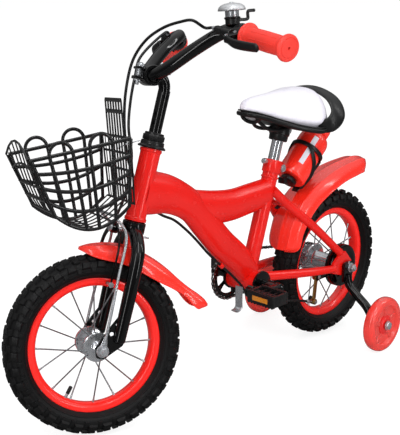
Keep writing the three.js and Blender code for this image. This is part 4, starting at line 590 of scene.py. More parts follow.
def add_lug(shape, turn, side, out, offset, tilt, long, wide, tall, skew):
    """A tapered rubber block on the tyre, at an angle round the wheel and a tilt across it."""
    radial = ray_at(turn)
    along = Vector((-math.sin(turn), 0, math.cos(turn)))
    foot = radial * out + LEFT * offset * side
    normal = (radial * math.cos(tilt) + LEFT * math.sin(tilt) * side).normalized()
    across = normal.cross(along)
    corners = ((-0.5, -0.5), (0.5, -0.5), (0.5, 0.5), (-0.5, 0.5))
    rings = []
    for high, share in ((-2.0, 1.16), (tall * 0.86, 0.92), (tall, 0.78)):
        lift = foot + normal * high
        rings.append([lift + along * (a * long * share + b * skew) + across * (b * wide * share)
                      for a, b in corners])
    add_rings(shape, rings)


def tyre(name, body, node, place, centre):
    shape = bmesh.new()
    wall = [(r, -y) for r, y in TYRE_WALL[:-1]] + TYRE_WALL[::-1]
    add_turning(shape, wall, Vector(), LEFT, TYRE_SIDES, closed=True)
    pitch = 2 * math.pi / PITCHES
    for i in range(PITCHES):
        for side in (1, -1):
            turn = (i + (0.25 if side > 0 else -0.25)) * pitch
            for share, *lug in LUGS:
                add_lug(shape, turn + pitch * share, side, *lug)
    for radius, y in WALL_LINES:
        for side in (1, -1):
            ring = [ray_at(turn) * radius + LEFT * y * side for turn in circle(TYRE_SIDES)]
            add_tube(shape, ring, 0.7, 6, closed=True)
    made = piece(name, shape, body, [tyre_rubber], (node,), place @ Matrix.Translation(centre), 32)
    print(name, "has", len(made.data.polygons), "faces")
    return made


tyre("front_tyre_knobs", "front_wheel", "front_tyre", STEERED, FRONT_AXLE)
tyre("rear_tyre_knobs", "rear_wheel", "rear_tyre", BIKE, REAR_AXLE)

# %% [markdown]
# ## Rims, spokes and hubs
# The rim is a red steel hoop with a rolled edge on each side and a well between. Sixteen
# thin spokes run from the hub's flanges, each leaning a little round the wheel, with a
# bright nipple where it goes into the rim. The valve with its black cap stands inside.
# All are turnings and thin tubes, as in the real wheel.

# %% Rims with nipples and a valve
RIM_HALF = [(104.6, 0.0), (104.6, 7.4), (106.6, 9.4), (112.2, 10.2), (113.0, 11.2), (113.0, 12.4),
            (111.8, 13.0), (106.0, 12.8), (103.6, 12.0), (102.0, 10.4), (100.2, 8.6), (99.0, 6.2),
            (98.6, 0.0)]
PER_SIDE, FLANGE_OUT = 8, 25.0
SPOKE_LEAN, SPOKE_REACH, SPOKE_SPREAD = 0.24, 99.4, 2.2


def spoke_ends(side, index, flange):
    turn = 2 * math.pi * (index + (0 if side > 0 else 0.5)) / PER_SIDE + 0.1
    lean = SPOKE_LEAN * (1 if index % 2 else -1)
    root = ray_at(turn + lean) * flange + LEFT * side * FLANGE_OUT
    return root, ray_at(turn) * SPOKE_REACH + LEFT * side * SPOKE_SPREAD


def rim(name, body, node, place, centre, flange, valve_turn):
    shape = bmesh.new()
    half = [(r, -y) for r, y in RIM_HALF[1:-1]]
    add_turning(shape, RIM_HALF + half[::-1], Vector(), LEFT, 144, closed=True)
    for side in (1, -1):
        for index in range(PER_SIDE):
            root, tip = spoke_ends(side, index, flange)
            way = (tip - root).normalized()
            nipple = [(0, -0.6), (2.0, -0.6), (2.3, 0.0), (1.7, 1.6), (1.6, 7.0), (1.2, 8.4), (0, 8.4)]
            add_turning(shape, nipple, tip, -way, 10, finish=1)
    out = ray_at(valve_turn)
    valve = [(0, 0), (3.4, 0), (3.4, 1.4), (2.6, 1.8), (2.6, 12.0), (0, 12.0)]
    add_turning(shape, valve, out * 99.0, -out, 14, finish=1)
    cap = [(0, 0), (3.1, 0), (3.3, 1.0), (3.3, 11.0), (2.8, 13.4), (0, 14.0)]
    add_turning(shape, cap, out * 92.0, -out, 14, finish=2)
    return piece(name, shape, body, [rim_paint, zinc, black_plastic], (node,),
                 place @ Matrix.Translation(centre), 40)


rim("front_rim_hoop", "front_wheel", "front_rim", STEERED, FRONT_AXLE, 21.0, math.radians(-56))
rim("rear_rim_hoop", "rear_wheel", "rear_rim", BIKE, REAR_AXLE, 27.5, math.radians(-60))
print("two rims, each with", 2 * PER_SIDE, "nipples")

# %% Hubs and spokes
def hub(name, body, node, place, centre, barrel, flange, end, drum=None):
    shape = bmesh.new()
    half = [(barrel, 0), (barrel, 17.0), (barrel + 1.6, 20.0), (flange - 6.5, 22.4), (flange - 1.0, 23.0),
            (flange, 24.0), (flange, 25.4), (flange - 0.8, 26.0), (barrel + 2.5, 26.0),
            (barrel + 1.0, 27.0), (barrel + 0.6, end - 2.0), (barrel - 1.6, end - 0.4), (6.0, end),
            (5.6, end - 1.0)]
    add_turning(shape, [(r, -y) for r, y in half[:0:-1]] + half, Vector(), LEFT, 48)
    for side in (1, -1):
        for index in range(PER_SIDE):
            root, tip = spoke_ends(side, index, flange - 3.6)
            inside = root - LEFT * side * 4.0
            add_tube(shape, [inside, root, root.lerp(tip, 0.04), tip], 1.25, 8, finish=1)
            head = [(0, 0), (1.9, 0), (1.9, 0.7), (0.9, 1.4), (0, 1.5)]
            add_turning(shape, head, root + LEFT * side * 1.8, LEFT * side, 10, finish=1)
    if drum:
        add_turning(shape, drum, Vector(), LEFT, 48, finish=2)
    return piece(name, shape, body, [chrome, spoke_steel, black_paint], (node,),
                 place @ Matrix.Translation(centre), 35)


hub("front_hub_spokes", "front_wheel", "front_hub", STEERED, FRONT_AXLE, 9.6, 24.5, 44.0)
brake_drum = [(17, 26.5), (17, 30.8), (34.6, 31.2), (36.0, 32.4), (36.0, 40.6), (35.0, 41.8), (6.2, 42.0)]
hub("rear_hub_spokes", "rear_wheel", "rear_hub", BIKE, REAR_AXLE, 16.0, 31.0, 29.0, brake_drum)
print("spokes laced")

# %% [markdown]
# ## The frame
# The main tube is one fat oval pipe that sweeps down from the head tube and bends to the
# crank; a second one leaves it for the seat tube. Both swell where they meet other tubes.
# A real frame is welded, so a rounded bead of metal shows under the paint at both ends of
# the seat tube. The tubes are lofts of ovals along a curve, and a bead is a thin wavy tube.

# %% Main tube and top tube
MAIN_UP, MAIN_HIGH, MAIN_WIDE = 262, 28.6, 18.8
TOP_UP, TOP_HIGH, TOP_WIDE = 170, 30.6, 16.8
MAIN_START = steer_at(MAIN_UP)
MAIN_ALONG = CRANK_AXLE - MAIN_START
MAIN_ACROSS = Vector((MAIN_ALONG.z, 0, -MAIN_ALONG.x))
MAIN_SHARES = [(-0.02, -0.008, 1.36), (0.06, 0.03, 1.3), (0.15, 0.072, 1.18), (0.25, 0.098, 1.06),
               (0.352, 0.108, 1), (0.494, 0.088, 1), (0.675, 0.063, 1), (0.857, 0.055, 1),
               (0.985, 0.036, 0.96)]
TOP_SHARES = [(0, 0, 1), (0.25, -0.04, 1), (0.5, -0.055, 0.98), (0.75, -0.03, 0.95), (1, 0, 0.9)]


def main_at(along, across):
    return MAIN_START + MAIN_ALONG * along + MAIN_ACROSS * across


def add_oval_tube(shape, points, heights, wide, steps=8, sides=40):
    """A tube of ovals in the middle plane; its height changes as smoothly as its path."""
    rows = smooth_path([Vector((spot.x, high, spot.z)) for spot, high in zip(points, heights)], steps)
    path = [Vector((row.x, 0, row.z)) for row in rows]
    rings = []
    for i, (spot, row) in enumerate(zip(path, rows)):
        along = (path[min(i + 1, len(path) - 1)] - path[max(i - 1, 0)]).normalized()
        up = Vector((-along.z, 0, along.x))
        rings.append([spot + up * row.y * math.cos(t) + LEFT * wide * math.sin(t)
                      for t in circle(sides)])
    add_rings(shape, rings)


frame_shape = bmesh.new()
main_points = [main_at(a, c) for a, c, _ in MAIN_SHARES]
add_oval_tube(frame_shape, main_points, [MAIN_HIGH * h for *_, h in MAIN_SHARES], MAIN_WIDE)
bmesh.ops.bisect_plane(frame_shape, geom=frame_shape.verts[:] + frame_shape.edges[:] + frame_shape.faces[:],
                       plane_co=steer_at(MAIN_UP, 2), plane_no=STEER_AHEAD, clear_outer=True)
top_from = main_at(0.352, 0.108)
top_way = seat_at(TOP_UP) - top_from
top_points = [top_from + top_way * s + Vector((0, 0, sag * top_way.length)) for s, sag, _ in TOP_SHARES]
add_oval_tube(frame_shape, top_points, [TOP_HIGH * h for *_, h in TOP_SHARES], TOP_WIDE)
piece("frame_tubes", frame_shape, "frame", [red_paint], ("main_tube", "top_tube"))
print("main tube", round(sum((b - a).length for a, b in zip(main_points, main_points[1:]))), "mm long")

# %% [markdown]
# ## Head tube, seat tube and crank shell
# Plain round tubes carry the moving parts. The head tube has a pressed cup at each end, the
# seat tube a clamp with two ears and a bolt, and the crank shell a ring on each side. They
# are turnings, so their ends can have the small lips and bevels that catch the light. A
# bare steel strip under the shell is the catch for a stand.

# %% Round tubes of the frame
WELD_STEPS, WELD_RIPPLES = 104, 26


def add_weld(shape, centre, axis, radius, thick):
    """A bead of weld round a tube: a closed ring with small ripples."""
    first, second = side_axes(axis)
    turns = circle(WELD_STEPS)
    ring = [centre + (first * math.cos(t) + second * math.sin(t)) * radius for t in turns]
    add_tube(shape, ring, [thick * (1 + 0.12 * math.sin(WELD_RIPPLES * t)) for t in turns], 8, closed=True)


HEAD_UP, CROWN_UP = 214, 194
round_shape = bmesh.new()
head = [(14.7, 0.2), (16.0, 0), (18.4, 0.4), (18.6, 5.0), (17.2, 6.6), (17, 8), (17, 114.5), (17.2, 116),
        (18.6, 117.5), (18.4, 122.1), (16, 122.4), (14.7, 122.2)]
add_turning(round_shape, head, steer_at(HEAD_UP), STEER_UP, 48, closed=True)
seat_tube = [(11.6, 20), (15, 20), (15, 206.5), (14.8, 231.5), (13.8, 232), (11.6, 232)]
add_turning(round_shape, seat_tube, CRANK_AXLE, SEAT_UP, 40, closed=True)
shell = bevelled(17, 21.5, -34, 34, 0.5, 0.6)
add_turning(round_shape, shell, CRANK_AXLE, LEFT, 40, closed=True)
add_weld(round_shape, seat_at(23), SEAT_UP, 15.4, 2.6)
add_weld(round_shape, seat_at(199), SEAT_UP, 15.2, 1.8)
piece("frame_round_tubes", round_shape, "frame", [red_paint],
      ("head_tube", "seat_tube", "bottom_bracket_shell"))

# %% Cups, seat clamp and crank bearings
small = bmesh.new()
for side in (1, -1):
    cup = [(8.9, 33.4), (22.0, 33.4), (24.6, 34.2), (25.0, 35.4), (24.4, 38.2), (20.0, 39.0), (9.0, 39.0)]
    add_turning(small, cup, CRANK_AXLE, LEFT * side, 36, closed=True, finish=1)
collar = [(15.1, 208), (17.2, 208), (17.5, 208.5), (17.5, 231.5), (17.2, 232.1), (15.1, 232.1)]
add_turning(small, collar, CRANK_AXLE, SEAT_UP, 40, closed=True)
for side in (1, -1):
    add_block(small, (9.5, 4.4, 23.4), seat_at(220, -21.2, side * 3.8), SEAT_AHEAD, SEAT_UP, 1.2)
add_turning(small, pin_profile(2.4, -11, 11), seat_at(220, -22), LEFT, 12, finish=2)
clamp_nut = [(0, 0), (7.4, 0), (7.6, 0.6), (7.6, 5.2), (6.4, 6.4), (0, 6.4)]
clamp_cap = [(0, 0), (5.2, 0), (5.6, 1.2), (5.0, 3.0), (2.6, 4.0), (0, 4.2)]
add_turning(small, clamp_nut, seat_at(220, -22, 6.2), LEFT, 6, finish=2)
add_turning(small, clamp_cap, seat_at(220, -22, -6.2), -LEFT, 20, finish=2)
stand = [Vector((286, 0, z)) for z in (172, 160, 144, 131)] + [Vector((290, 0, 127)), Vector((298, 0, 125.6))]
add_tube(small, smooth_path([spot + LEFT * 15 for spot in stand], 5), 9.0, 14, flat=0.2, finish=2)
clamp_head = [(0, -7), (3.0, -7), (3.0, 0), (4.8, 0), (5.2, 0.8), (5.2, 5), (4.2, 6.2), (0, 6.4)]
add_turning(small, clamp_head, seat_at(226, 24), SEAT_AHEAD, 24, finish=2)
piece("seat_clamp_and_cups", small, "frame", [red_paint, black_paint, zinc])
print("seat clamp bolt 22 mm long")

# %% [markdown]
# ## Stays and dropouts
# Two thin stays on each side hold the rear axle. At their end a flat plate with a slot, the
# dropout, takes the axle, and the ends of the stays are pressed flat to meet it. The stays
# are tubes along a bent path, and each plate is an outline pushed out to its thickness.

# %% Stays
CHAINSTAY_SHARES = [(0.92, 0.4), (0.74, 0.6), (0.45, 0.86), (0.18, 1)]
SEATSTAY_SHARES = [(1, 0.26), (0.83, 0.36), (0.56, 0.72), (0.14, 1)]
STAY_OUT = 57
DROPOUT = [(-12, -13.6), (-12, 12), (10, 35.5), (30, 32), (50.6, 17), (50.6, -3), (20, -13.6)]


def add_plate(shape, outline, thick, y, soft=0.7):
    """A flat plate in the middle plane's direction, with rounded edges."""
    flat = bmesh.new()
    faces = [flat.faces.new([flat.verts.new((x, y - thick / 2, z)) for x, z in outline])]
    pushed = bmesh.ops.extrude_face_region(flat, geom=faces)
    bmesh.ops.translate(flat, verts=[v for v in pushed["geom"] if isinstance(v, bmesh.types.BMVert)],
                        vec=(0, thick, 0))
    bmesh.ops.recalc_face_normals(flat, faces=flat.faces)
    bmesh.ops.bevel(flat, geom=flat.edges[:], offset=soft, segments=2, affect="EDGES")
    new = {vert: shape.verts.new(vert.co) for vert in flat.verts}
    for face in flat.faces:
        shape.faces.new([new[vert] for vert in face.verts])
    flat.free()


CHAINSTAY, STAY_R = Vector((247, 0, 29)), 8.9
stay_shape = bmesh.new()


def add_stay(spots, less):
    """A round stay that gets thinner near the dropout."""
    path = smooth_path(spots, 7)
    add_tube(stay_shape, path, [STAY_R - less * (k / len(path)) ** 3 for k in range(len(path))], 24)
    return path


for _, side in SIDES:
    low = [REAR_AXLE + Vector((CHAINSTAY.x * x, side * STAY_OUT * y, CHAINSTAY.z * x))
           for x, y in CHAINSTAY_SHARES]
    add_stay(low, 1.6)
    foot = Vector((0, 0, 163.3))
    high = [foot.lerp(seat_at(176), share) + LEFT * (side * STAY_OUT * y) for share, y in SEATSTAY_SHARES]
    high_path = add_stay(high, 1.4)
    for end in (low[-1], high[-1]):
        ball = [(0, -5), (5, -5), (8.2, -2.4), (8.8, 0), (8.2, 2.4), (5, 5), (0, 5)]
        add_turning(stay_shape, ball, end, LEFT, 24)
    add_plate(stay_shape, [(x, WHEEL_R + z) for x, z in DROPOUT], 5, side * STAY_OUT)
bridge = high_path[8]
add_tube(stay_shape, [bridge, on_side(bridge, -1)], 5.5, 20)
piece("frame_stays", stay_shape, "frame", [red_paint],
      ("left_chainstay", "right_chainstay", "left_seatstay", "right_seatstay"))
print("stays and a bridge", round(2 * abs(bridge.y)), "mm wide")

# %% [markdown]
# ## Fork and headset
# The fork is black: a crown on the steerer, two legs that lean out and then run straight
# down, and flat ends with two holes each. A pale disc stands for each hole, because the white
# room shows through it. Black cups close the head tube at the top and the bottom. Turnings
# and one bent tube for each leg give the true section.

# %% Fork
fork_shape = bmesh.new()
crown = [(13.6, 0.4), (18.6, 0), (19.5, 1.2), (19.5, 17.6), (17.2, 19.6), (14, 20)]
add_turning(fork_shape, [(0, -0.1), (13.6, -0.1)] + crown + [(14, 134), (0, 134)],
            steer_at(CROWN_UP), STEER_UP, 40)
race = [(14, 203.2), (18.2, 203.2), (19.5, 204.4), (19.5, 209.5), (18.6, 211.6), (17.4, 213.4), (14, 213.6)]
add_turning(fork_shape, race, steer_at(0), STEER_UP, 44, closed=True)
LEG_SHARES = [(198, 0.155), (186, 0.56), (167, 0.9), (133, 1), (21, 1)]
PLATE_SHARES = [(-0.54, 0.75), (-0.54, 1.29), (0.08, 1.5), (1.67, 0.79), (2.67, 0.25), (2.5, -0.38),
                (0.58, -0.38)]
PLATE_HOLES = [(1.92, 0.33), (1.25, 0.63)]
AXLE_AHEAD, LEG_OUT, PLATE_OUT = 24, 52, 49
for _, side in SIDES:
    leg = smooth_path([steer_at(up, 0, side * LEG_OUT * share) for up, share in LEG_SHARES], 8)
    sizes = [11.4] * (len(leg) - 6) + [11.3, 11.1, 10.9, 10.7, 10.5, 10.2]
    add_tube(fork_shape, leg, sizes, 28)
    leg_end = [(0, -5.5), (5, -5), (9.2, -2.6), (10.2, 0)]
    add_turning(fork_shape, leg_end, steer_at(21, 0, side * LEG_OUT), STEER_UP, 28)
    corners = [steer_at(AXLE_AHEAD * up, AXLE_AHEAD * ahead) for up, ahead in PLATE_SHARES]
    add_plate(fork_shape, [(spot.x, spot.z) for spot in corners], 5, side * PLATE_OUT)
    for up, ahead in PLATE_HOLES:
        hole = steer_at(AXLE_AHEAD * up, AXLE_AHEAD * ahead, side * PLATE_OUT)
        add_turning(fork_shape, pin_profile(3.3, -3.2, 3.2), hole, LEFT, 20, finish=1)
        add_turning(fork_shape, ring_profile(3.3, 4.5, -2.9, 2.9), hole, LEFT, 20, closed=True)
pale, pale_shader, pale_spot = start_finish("hole_light", Roughness=0.9)
(pale_spot.noise(80) * 0.4).tint(colour(236, 236, 238), colour(210, 210, 214)).into(pale_shader, "Base Color")
bolt = [(0, 0), (3.2, 0), (3.2, 20.4), (6.6, 20.6), (7.2, 21.4), (6.6, 24.4), (3.6, 25.4), (0, 25.4)]
add_turning(fork_shape, bolt, steer_at(196, 17), STEER_AHEAD, 24, finish=2)
bolt_end = [(0, 0), (1.7, 0), (1.7, 13), (1.2, 14), (0, 14)]
add_turning(fork_shape, bolt_end, steer_at(190, -17), -STEER_AHEAD, 14, finish=2)
piece("fork", fork_shape, "steering", [black_paint, pale, zinc],
      ("fork_crown", "left_fork_blade", "right_fork_blade"), STEERED)

# %% Headset cup and nut
HEADSET_UP = 336.8
nut_shape = bmesh.new()
top_cup = [(14.4, 0), (22.6, 0), (23.5, 0.8), (23.5, 2.6), (22.0, 4.0), (20.0, 5.2), (19.6, 11.2),
           (18.6, 12.2), (16.6, 12.6), (16.2, 25.2), (15.2, 26.0), (10.9, 26.0)]
add_turning(nut_shape, top_cup, steer_at(HEADSET_UP), STEER_UP, 44, closed=True)
add_turning(nut_shape, bevelled(15.8, 19.6, 13.2, 22, 0.4, 0.6),
            steer_at(HEADSET_UP), STEER_UP, 8, closed=True)
piece("headset_cup_and_nut", nut_shape, "steering", [black_plastic],
      ("headset_nut",), STEERED)
print("fork and headset made")

# %% [markdown]
# ## Cranks, chainring and chain
# The crank is one forged bar: it goes through the shell and bends into an arm on each side.
# The chainring is a black ring with real teeth on five arms, and the chain runs over it
# in pairs of links, an outer and an inner one in turn. Each link is a small figure of eight
# plate, copied along the chain's loop, with a roller at each joint.

# %% Crank and chainring
CRANK_REST = math.radians(11)
CRANK_LONG, CRANK_OUT, PEDAL_OUT = 80, 76, 115
CHAIN_Y, RING_R, COG_R = -43.0, 46.0, 26.0


def crank_tip(side):
    return CRANK_AXLE + ray_at(CRANK_REST) * CRANK_LONG * side


crank_shape = bmesh.new()
add_turning(crank_shape, pin_profile(8, -82, 82), CRANK_AXLE, LEFT, 28)
for _, side in SIDES:
    root, tip = (spot + LEFT * side * CRANK_OUT for spot in (CRANK_AXLE, crank_tip(side)))
    way = (tip - root).normalized()
    arm = [root + way * s for s in (-6, 4, 22, 45, 66, 76, 86)]
    add_tube(crank_shape, arm, [8.6, 9.4, 7.6, 7.0, 7.6, 9.0, 8.2], 20)
    for spot in (root, tip):
        eye = bevelled(0, 11.2, -6, 6, 1, 1)
        add_turning(crank_shape, eye, spot, LEFT, 28)
    end_nut = [(0, 5), (6.6, 5.6), (6.6, 6.6), (5.4, 7.6), (0, 7.6)]
    add_turning(crank_shape, end_nut, root, LEFT * side, 6, finish=1)
    add_turning(crank_shape, [(4.4, 0), (4.4, 30), (0, 30)], tip, LEFT * side, 16, finish=1)
    add_turning(crank_shape, pin_profile(7.4, 5, 7.6), tip, LEFT * side, 6, finish=1)
piece("crank_arms", crank_shape, "crank", [black_paint, zinc], ("crank",))


def toothed(shape, centre, radius, teeth, thick, inner):
    """A ring with teeth between the chain's rollers."""
    steps = teeth * 6
    profile = []
    for k in range(steps):
        phase = (k % 6) / 6
        profile.append(radius + (2.6 if phase < 0.1 else 1.6 if phase in (1 / 6, 5 / 6) else -1.8))
    flat_in, flat_out = [inner] * steps, [radius - 4] * steps
    rings = ((flat_in, -1), (flat_out, -1), (profile, -0.6), (profile, 0.6), (flat_out, 1), (flat_in, 1))
    body = [[centre + ray_at(turn) * size + LEFT * (CHAIN_Y + side * thick / 2)
             for size, turn in zip(sizes, circle(steps))] for sizes, side in rings]
    add_rings(shape, body, closed=True)


ring_shape = bmesh.new()
toothed(ring_shape, CRANK_AXLE, RING_R, 28, 3.2, 37)
for k in range(5):
    spoke = ray_at(2 * math.pi * (k + 0.5) / 5)
    way = [CRANK_AXLE + LEFT * CHAIN_Y + spoke * s for s in (7, 14, 24, 34, 38.5)]
    add_tube(ring_shape, way, [7.4, 5.2, 4.6, 6.2, 9.0], 14, flat=0.3, hint=Vector((-spoke.z, 0, spoke.x)))
add_turning(ring_shape, bevelled(8.4, 17.6, -2, 2, 0.6, 0.8),
            CRANK_AXLE + LEFT * CHAIN_Y, LEFT, 32, closed=True)
piece("chainring_teeth", ring_shape, "crank", [black_paint], ("chainring",))
cog = bmesh.new()
toothed(cog, REAR_AXLE, COG_R, 16, 2.4, 6)
cog_hub = [(5.6, 29.4), (12.4, 29.4), (13, 30), (13, 41.4), (12.4, 44.2), (5.6, 44.2)]
add_turning(cog, cog_hub, REAR_AXLE, -LEFT, 32, closed=True)
piece("sprocket_teeth", cog, "sprocket", [zinc], ("sprocket",))
print("28 teeth in front and 16 behind")

# %% Chain
LINKS, ARC_STEPS, CHAIN_RISE = 74, 60, 1.6


def chain_loop(count):
    """Points evenly along the loop that touches both rings on the outside."""
    line = CRANK_AXLE - REAR_AXLE
    slope, lean = math.atan2(line.z, line.x), math.acos((RING_R - COG_R) / line.length)
    spots = []
    arcs = ((CRANK_AXLE, RING_R, -lean, lean), (REAR_AXLE, COG_R, lean, 2 * math.pi - lean))
    for centre, radius, start, end in arcs:
        spots += [centre + ray_at(slope + start + (end - start) * k / ARC_STEPS) * (radius + CHAIN_RISE)
                  for k in range(ARC_STEPS + 1)]
    gaps = [(b - a).length for a, b in zip(spots, spots[1:] + spots[:1])]
    pitch, placed, walked, index = sum(gaps) / count, [], 0.0, 0
    for k in range(count):
        while walked + gaps[index] < k * pitch:
            walked += gaps[index]
            index += 1
        share = (k * pitch - walked) / gaps[index]
        placed.append(spots[index].lerp(spots[(index + 1) % len(spots)], share))
    return placed


chain_shape = bmesh.new()
joints = chain_loop(LINKS)
for k, spot in enumerate(joints):
    after = joints[(k + 1) % LINKS]
    way = (after - spot).normalized()
    up = Vector((-way.z, 0, way.x))
    length = (after - spot).length
    half = [(-2.6, 0), (-1.9, 1.9), (0, 2.7)]
    outline = half + [(length / 2, 1.8)] + [(length - a, b) for a, b in half[::-1]]
    outline += [(a, -b) for a, b in outline[-2:0:-1]]
    for side in (1, -1):
        y = CHAIN_Y + side * (2.7 if k % 2 else 1.9)
        rows = [[spot + way * a + up * b + LEFT * (y + s * 0.38) for a, b in outline] for s in (-1, 1)]
        add_rings(chain_shape, rows)
    add_turning(chain_shape, pin_profile(1.5, -3.3, 3.3), spot + LEFT * CHAIN_Y, LEFT, 8, finish=1)
    add_turning(chain_shape, pin_profile(2.4, -1.6, 1.6), spot + LEFT * CHAIN_Y, LEFT, 10, finish=1)
piece("chain_links", chain_shape, "frame", [chain_steel, zinc], ("chain",))
print(LINKS, "links")

# %% [markdown]
# ## Pedals
# A child's pedal is one black moulding: a frame with two windows, ribs across it for grip,
# and an amber reflector let into the front and back faces. The frame is made of rounded
# bars, because a real moulding has soft edges and thin walls.

# %% Pedals
for name, side in SIDES:
    pedal = bmesh.new()
    middle_spot = crank_tip(side) + LEFT * side * PEDAL_OUT
    for end in (1, -1):
        add_block(pedal, (6.4, 60, 21.6), middle_spot + Vector((end * 17.6, 0, 0)), soft=1.6)
        add_block(pedal, (3.4, 36, 10.4), middle_spot + Vector((end * 19.6, 0, 0)), soft=0.8, finish=1)
        for k in range(9):
            for rise in (10.6, -10.6):
                rib = middle_spot + Vector((end * 17.4, -26 + 6.5 * k, rise))
                add_block(pedal, (6.0, 3.2, 2.2), rib, soft=0.5)
        add_block(pedal, (41, 6.6, 20.4), middle_spot + LEFT * end * 26.6, soft=1.6)
    barrel = [(5.3, -29.8), (8.6, -29.8), (9.2, -28), (7.4, -20), (7.2, 20), (9.0, 28), (8.6, 29.8),
              (5.3, 29.8)]
    add_turning(pedal, barrel, middle_spot, LEFT, 24, closed=True)
    for k in (-1, 0, 1):
        add_block(pedal, (30, 2.6, 16), middle_spot + LEFT * 13 * k, soft=0.6)
    add_turning(pedal, [(0, 28), (5.2, 28), (5.2, 30), (4, 30.4), (0, 30.4)], middle_spot, LEFT * side, 16)
    piece(f"{name}_pedal_frame", pedal, f"{name}_pedal", [black_plastic, amber],
          (f"{name}_pedal",))
print("two pedals with reflectors")

# %% [markdown]
# ## Axles, nuts and the band brake
# Bright domed nuts and washers hold both wheels. On the left of the rear hub a dished black
# cover hides the band brake, which a small brass arm works when its cable pulls. The hexagons
# are turnings with six sides, and their top corners are rounded off as on a real nut.

# %% Axles and nuts
def add_nut(shape, foot, out):
    """A hexagon nut on a washer, with the axle's threaded end standing out of it."""
    washer = [(4.9, 0), (9.6, 0), (9.8, 0.4), (9.5, 1.5), (4.9, 1.5)]
    add_turning(shape, washer, foot, out, 32, closed=True)
    nut = [(4.6, 1.4), (8.2, 1.4), (8.2, 8.0), (6.8, 9.2), (4.8, 9.3)]
    add_turning(shape, nut, foot, out, 6, closed=True)
    thread = [(0, 1.0)]
    for k in range(8):
        thread += [(4.8, 1.2 + k * 1.15), (4.35, 1.8 + k * 1.15)]
    add_turning(shape, thread + [(4.0, 11.6), (0, 11.8)], foot, out, 20)


front = bmesh.new()
add_turning(front, pin_profile(4.8, -56, 56), FRONT_AXLE, LEFT, 20)
rear = bmesh.new()
add_turning(rear, pin_profile(4.8, -68, 68), REAR_AXLE, LEFT, 20)
for _, side in SIDES:
    add_nut(front, FRONT_AXLE + LEFT * side * 55.1, LEFT * side)
    add_nut(rear, REAR_AXLE + LEFT * side * 66.8, LEFT * side)
    locks = ((front, FRONT_AXLE, 44.8, 8.4, 1.6), (rear, REAR_AXLE, 50.4, 7.6, 4))
    for shape, axle, reach, size, high in locks:
        lock = ring_profile(4.9, size, 0, high)
        add_turning(shape, lock, axle + LEFT * side * reach, LEFT * side, 6, closed=True)
piece("front_axle_nuts", front, "steering", [zinc], ("front_axle",), STEERED, 30)
piece("rear_axle_nuts", rear, "frame", [zinc], ("rear_axle",), BIKE, 30)

# %% Band brake
BRAKE_PIVOT, CABLE_ANCHOR = Vector((78, 39, 146)), Vector((84, 39, 94))
brake = bmesh.new()
dish = [(5.1, 47), (41, 47), (41, 33), (43.3, 33), (43.5, 33.6), (43.5, 46.5), (42.6, 48.4), (40, 49.4),
        (31, 49.5), (29, 48.6), (17, 48.6), (15, 49.4), (5.1, 49.5)]
add_turning(brake, dish, REAR_AXLE, LEFT, 60, closed=True)
add_block(brake, (43.5, 2.5, 12), Vector((62.5, 45.5, 146)), soft=0.9)
pivot = [(0, 4), (3, 4), (3, 11), (4.6, 11.2), (4.6, 12.6), (3.4, 13.4), (0, 13.4)]
add_turning(brake, pivot, BRAKE_PIVOT - LEFT * 5, LEFT, 20, finish=1)
piece("brake_cover_dish", brake, "frame", [black_paint, zinc], ("brake_cover",))
arm = bmesh.new()
add_turning(arm, bevelled(3.7, 8.4, -5, 5, 0.4, 0.6), BRAKE_PIVOT, LEFT, 28, closed=True)
blade = smooth_path([(78.4, 39, 141), (81, 39, 122), (83, 39, 100)], 5)
add_tube(arm, blade, 5.6, 16, flat=0.42, hint=Vector((1, 0, 0)))
add_turning(arm, bevelled(0, 6, -5, 5, 0.6, 0.8), CABLE_ANCHOR, LEFT, 24)
add_turning(arm, [(0, 5), (3.2, 5), (3.2, 7.4), (0, 7.6)], CABLE_ANCHOR, LEFT, 6, finish=1)
piece("brake_arm_lever", arm, "brake_arm", [brass, zinc], ("brake_arm",))
print("band brake made")

# %% [markdown]
# ## Training wheels
# Each stands on a bent black arm that the axle nut holds against the frame. The wheel is
# clear red plastic: a smooth tyre with a groove on each wall, a thinner web inside with
# five raised spokes, and a solid red core with a chrome bolt. It is a turning with the
# spokes laid on the web as soft ridges.

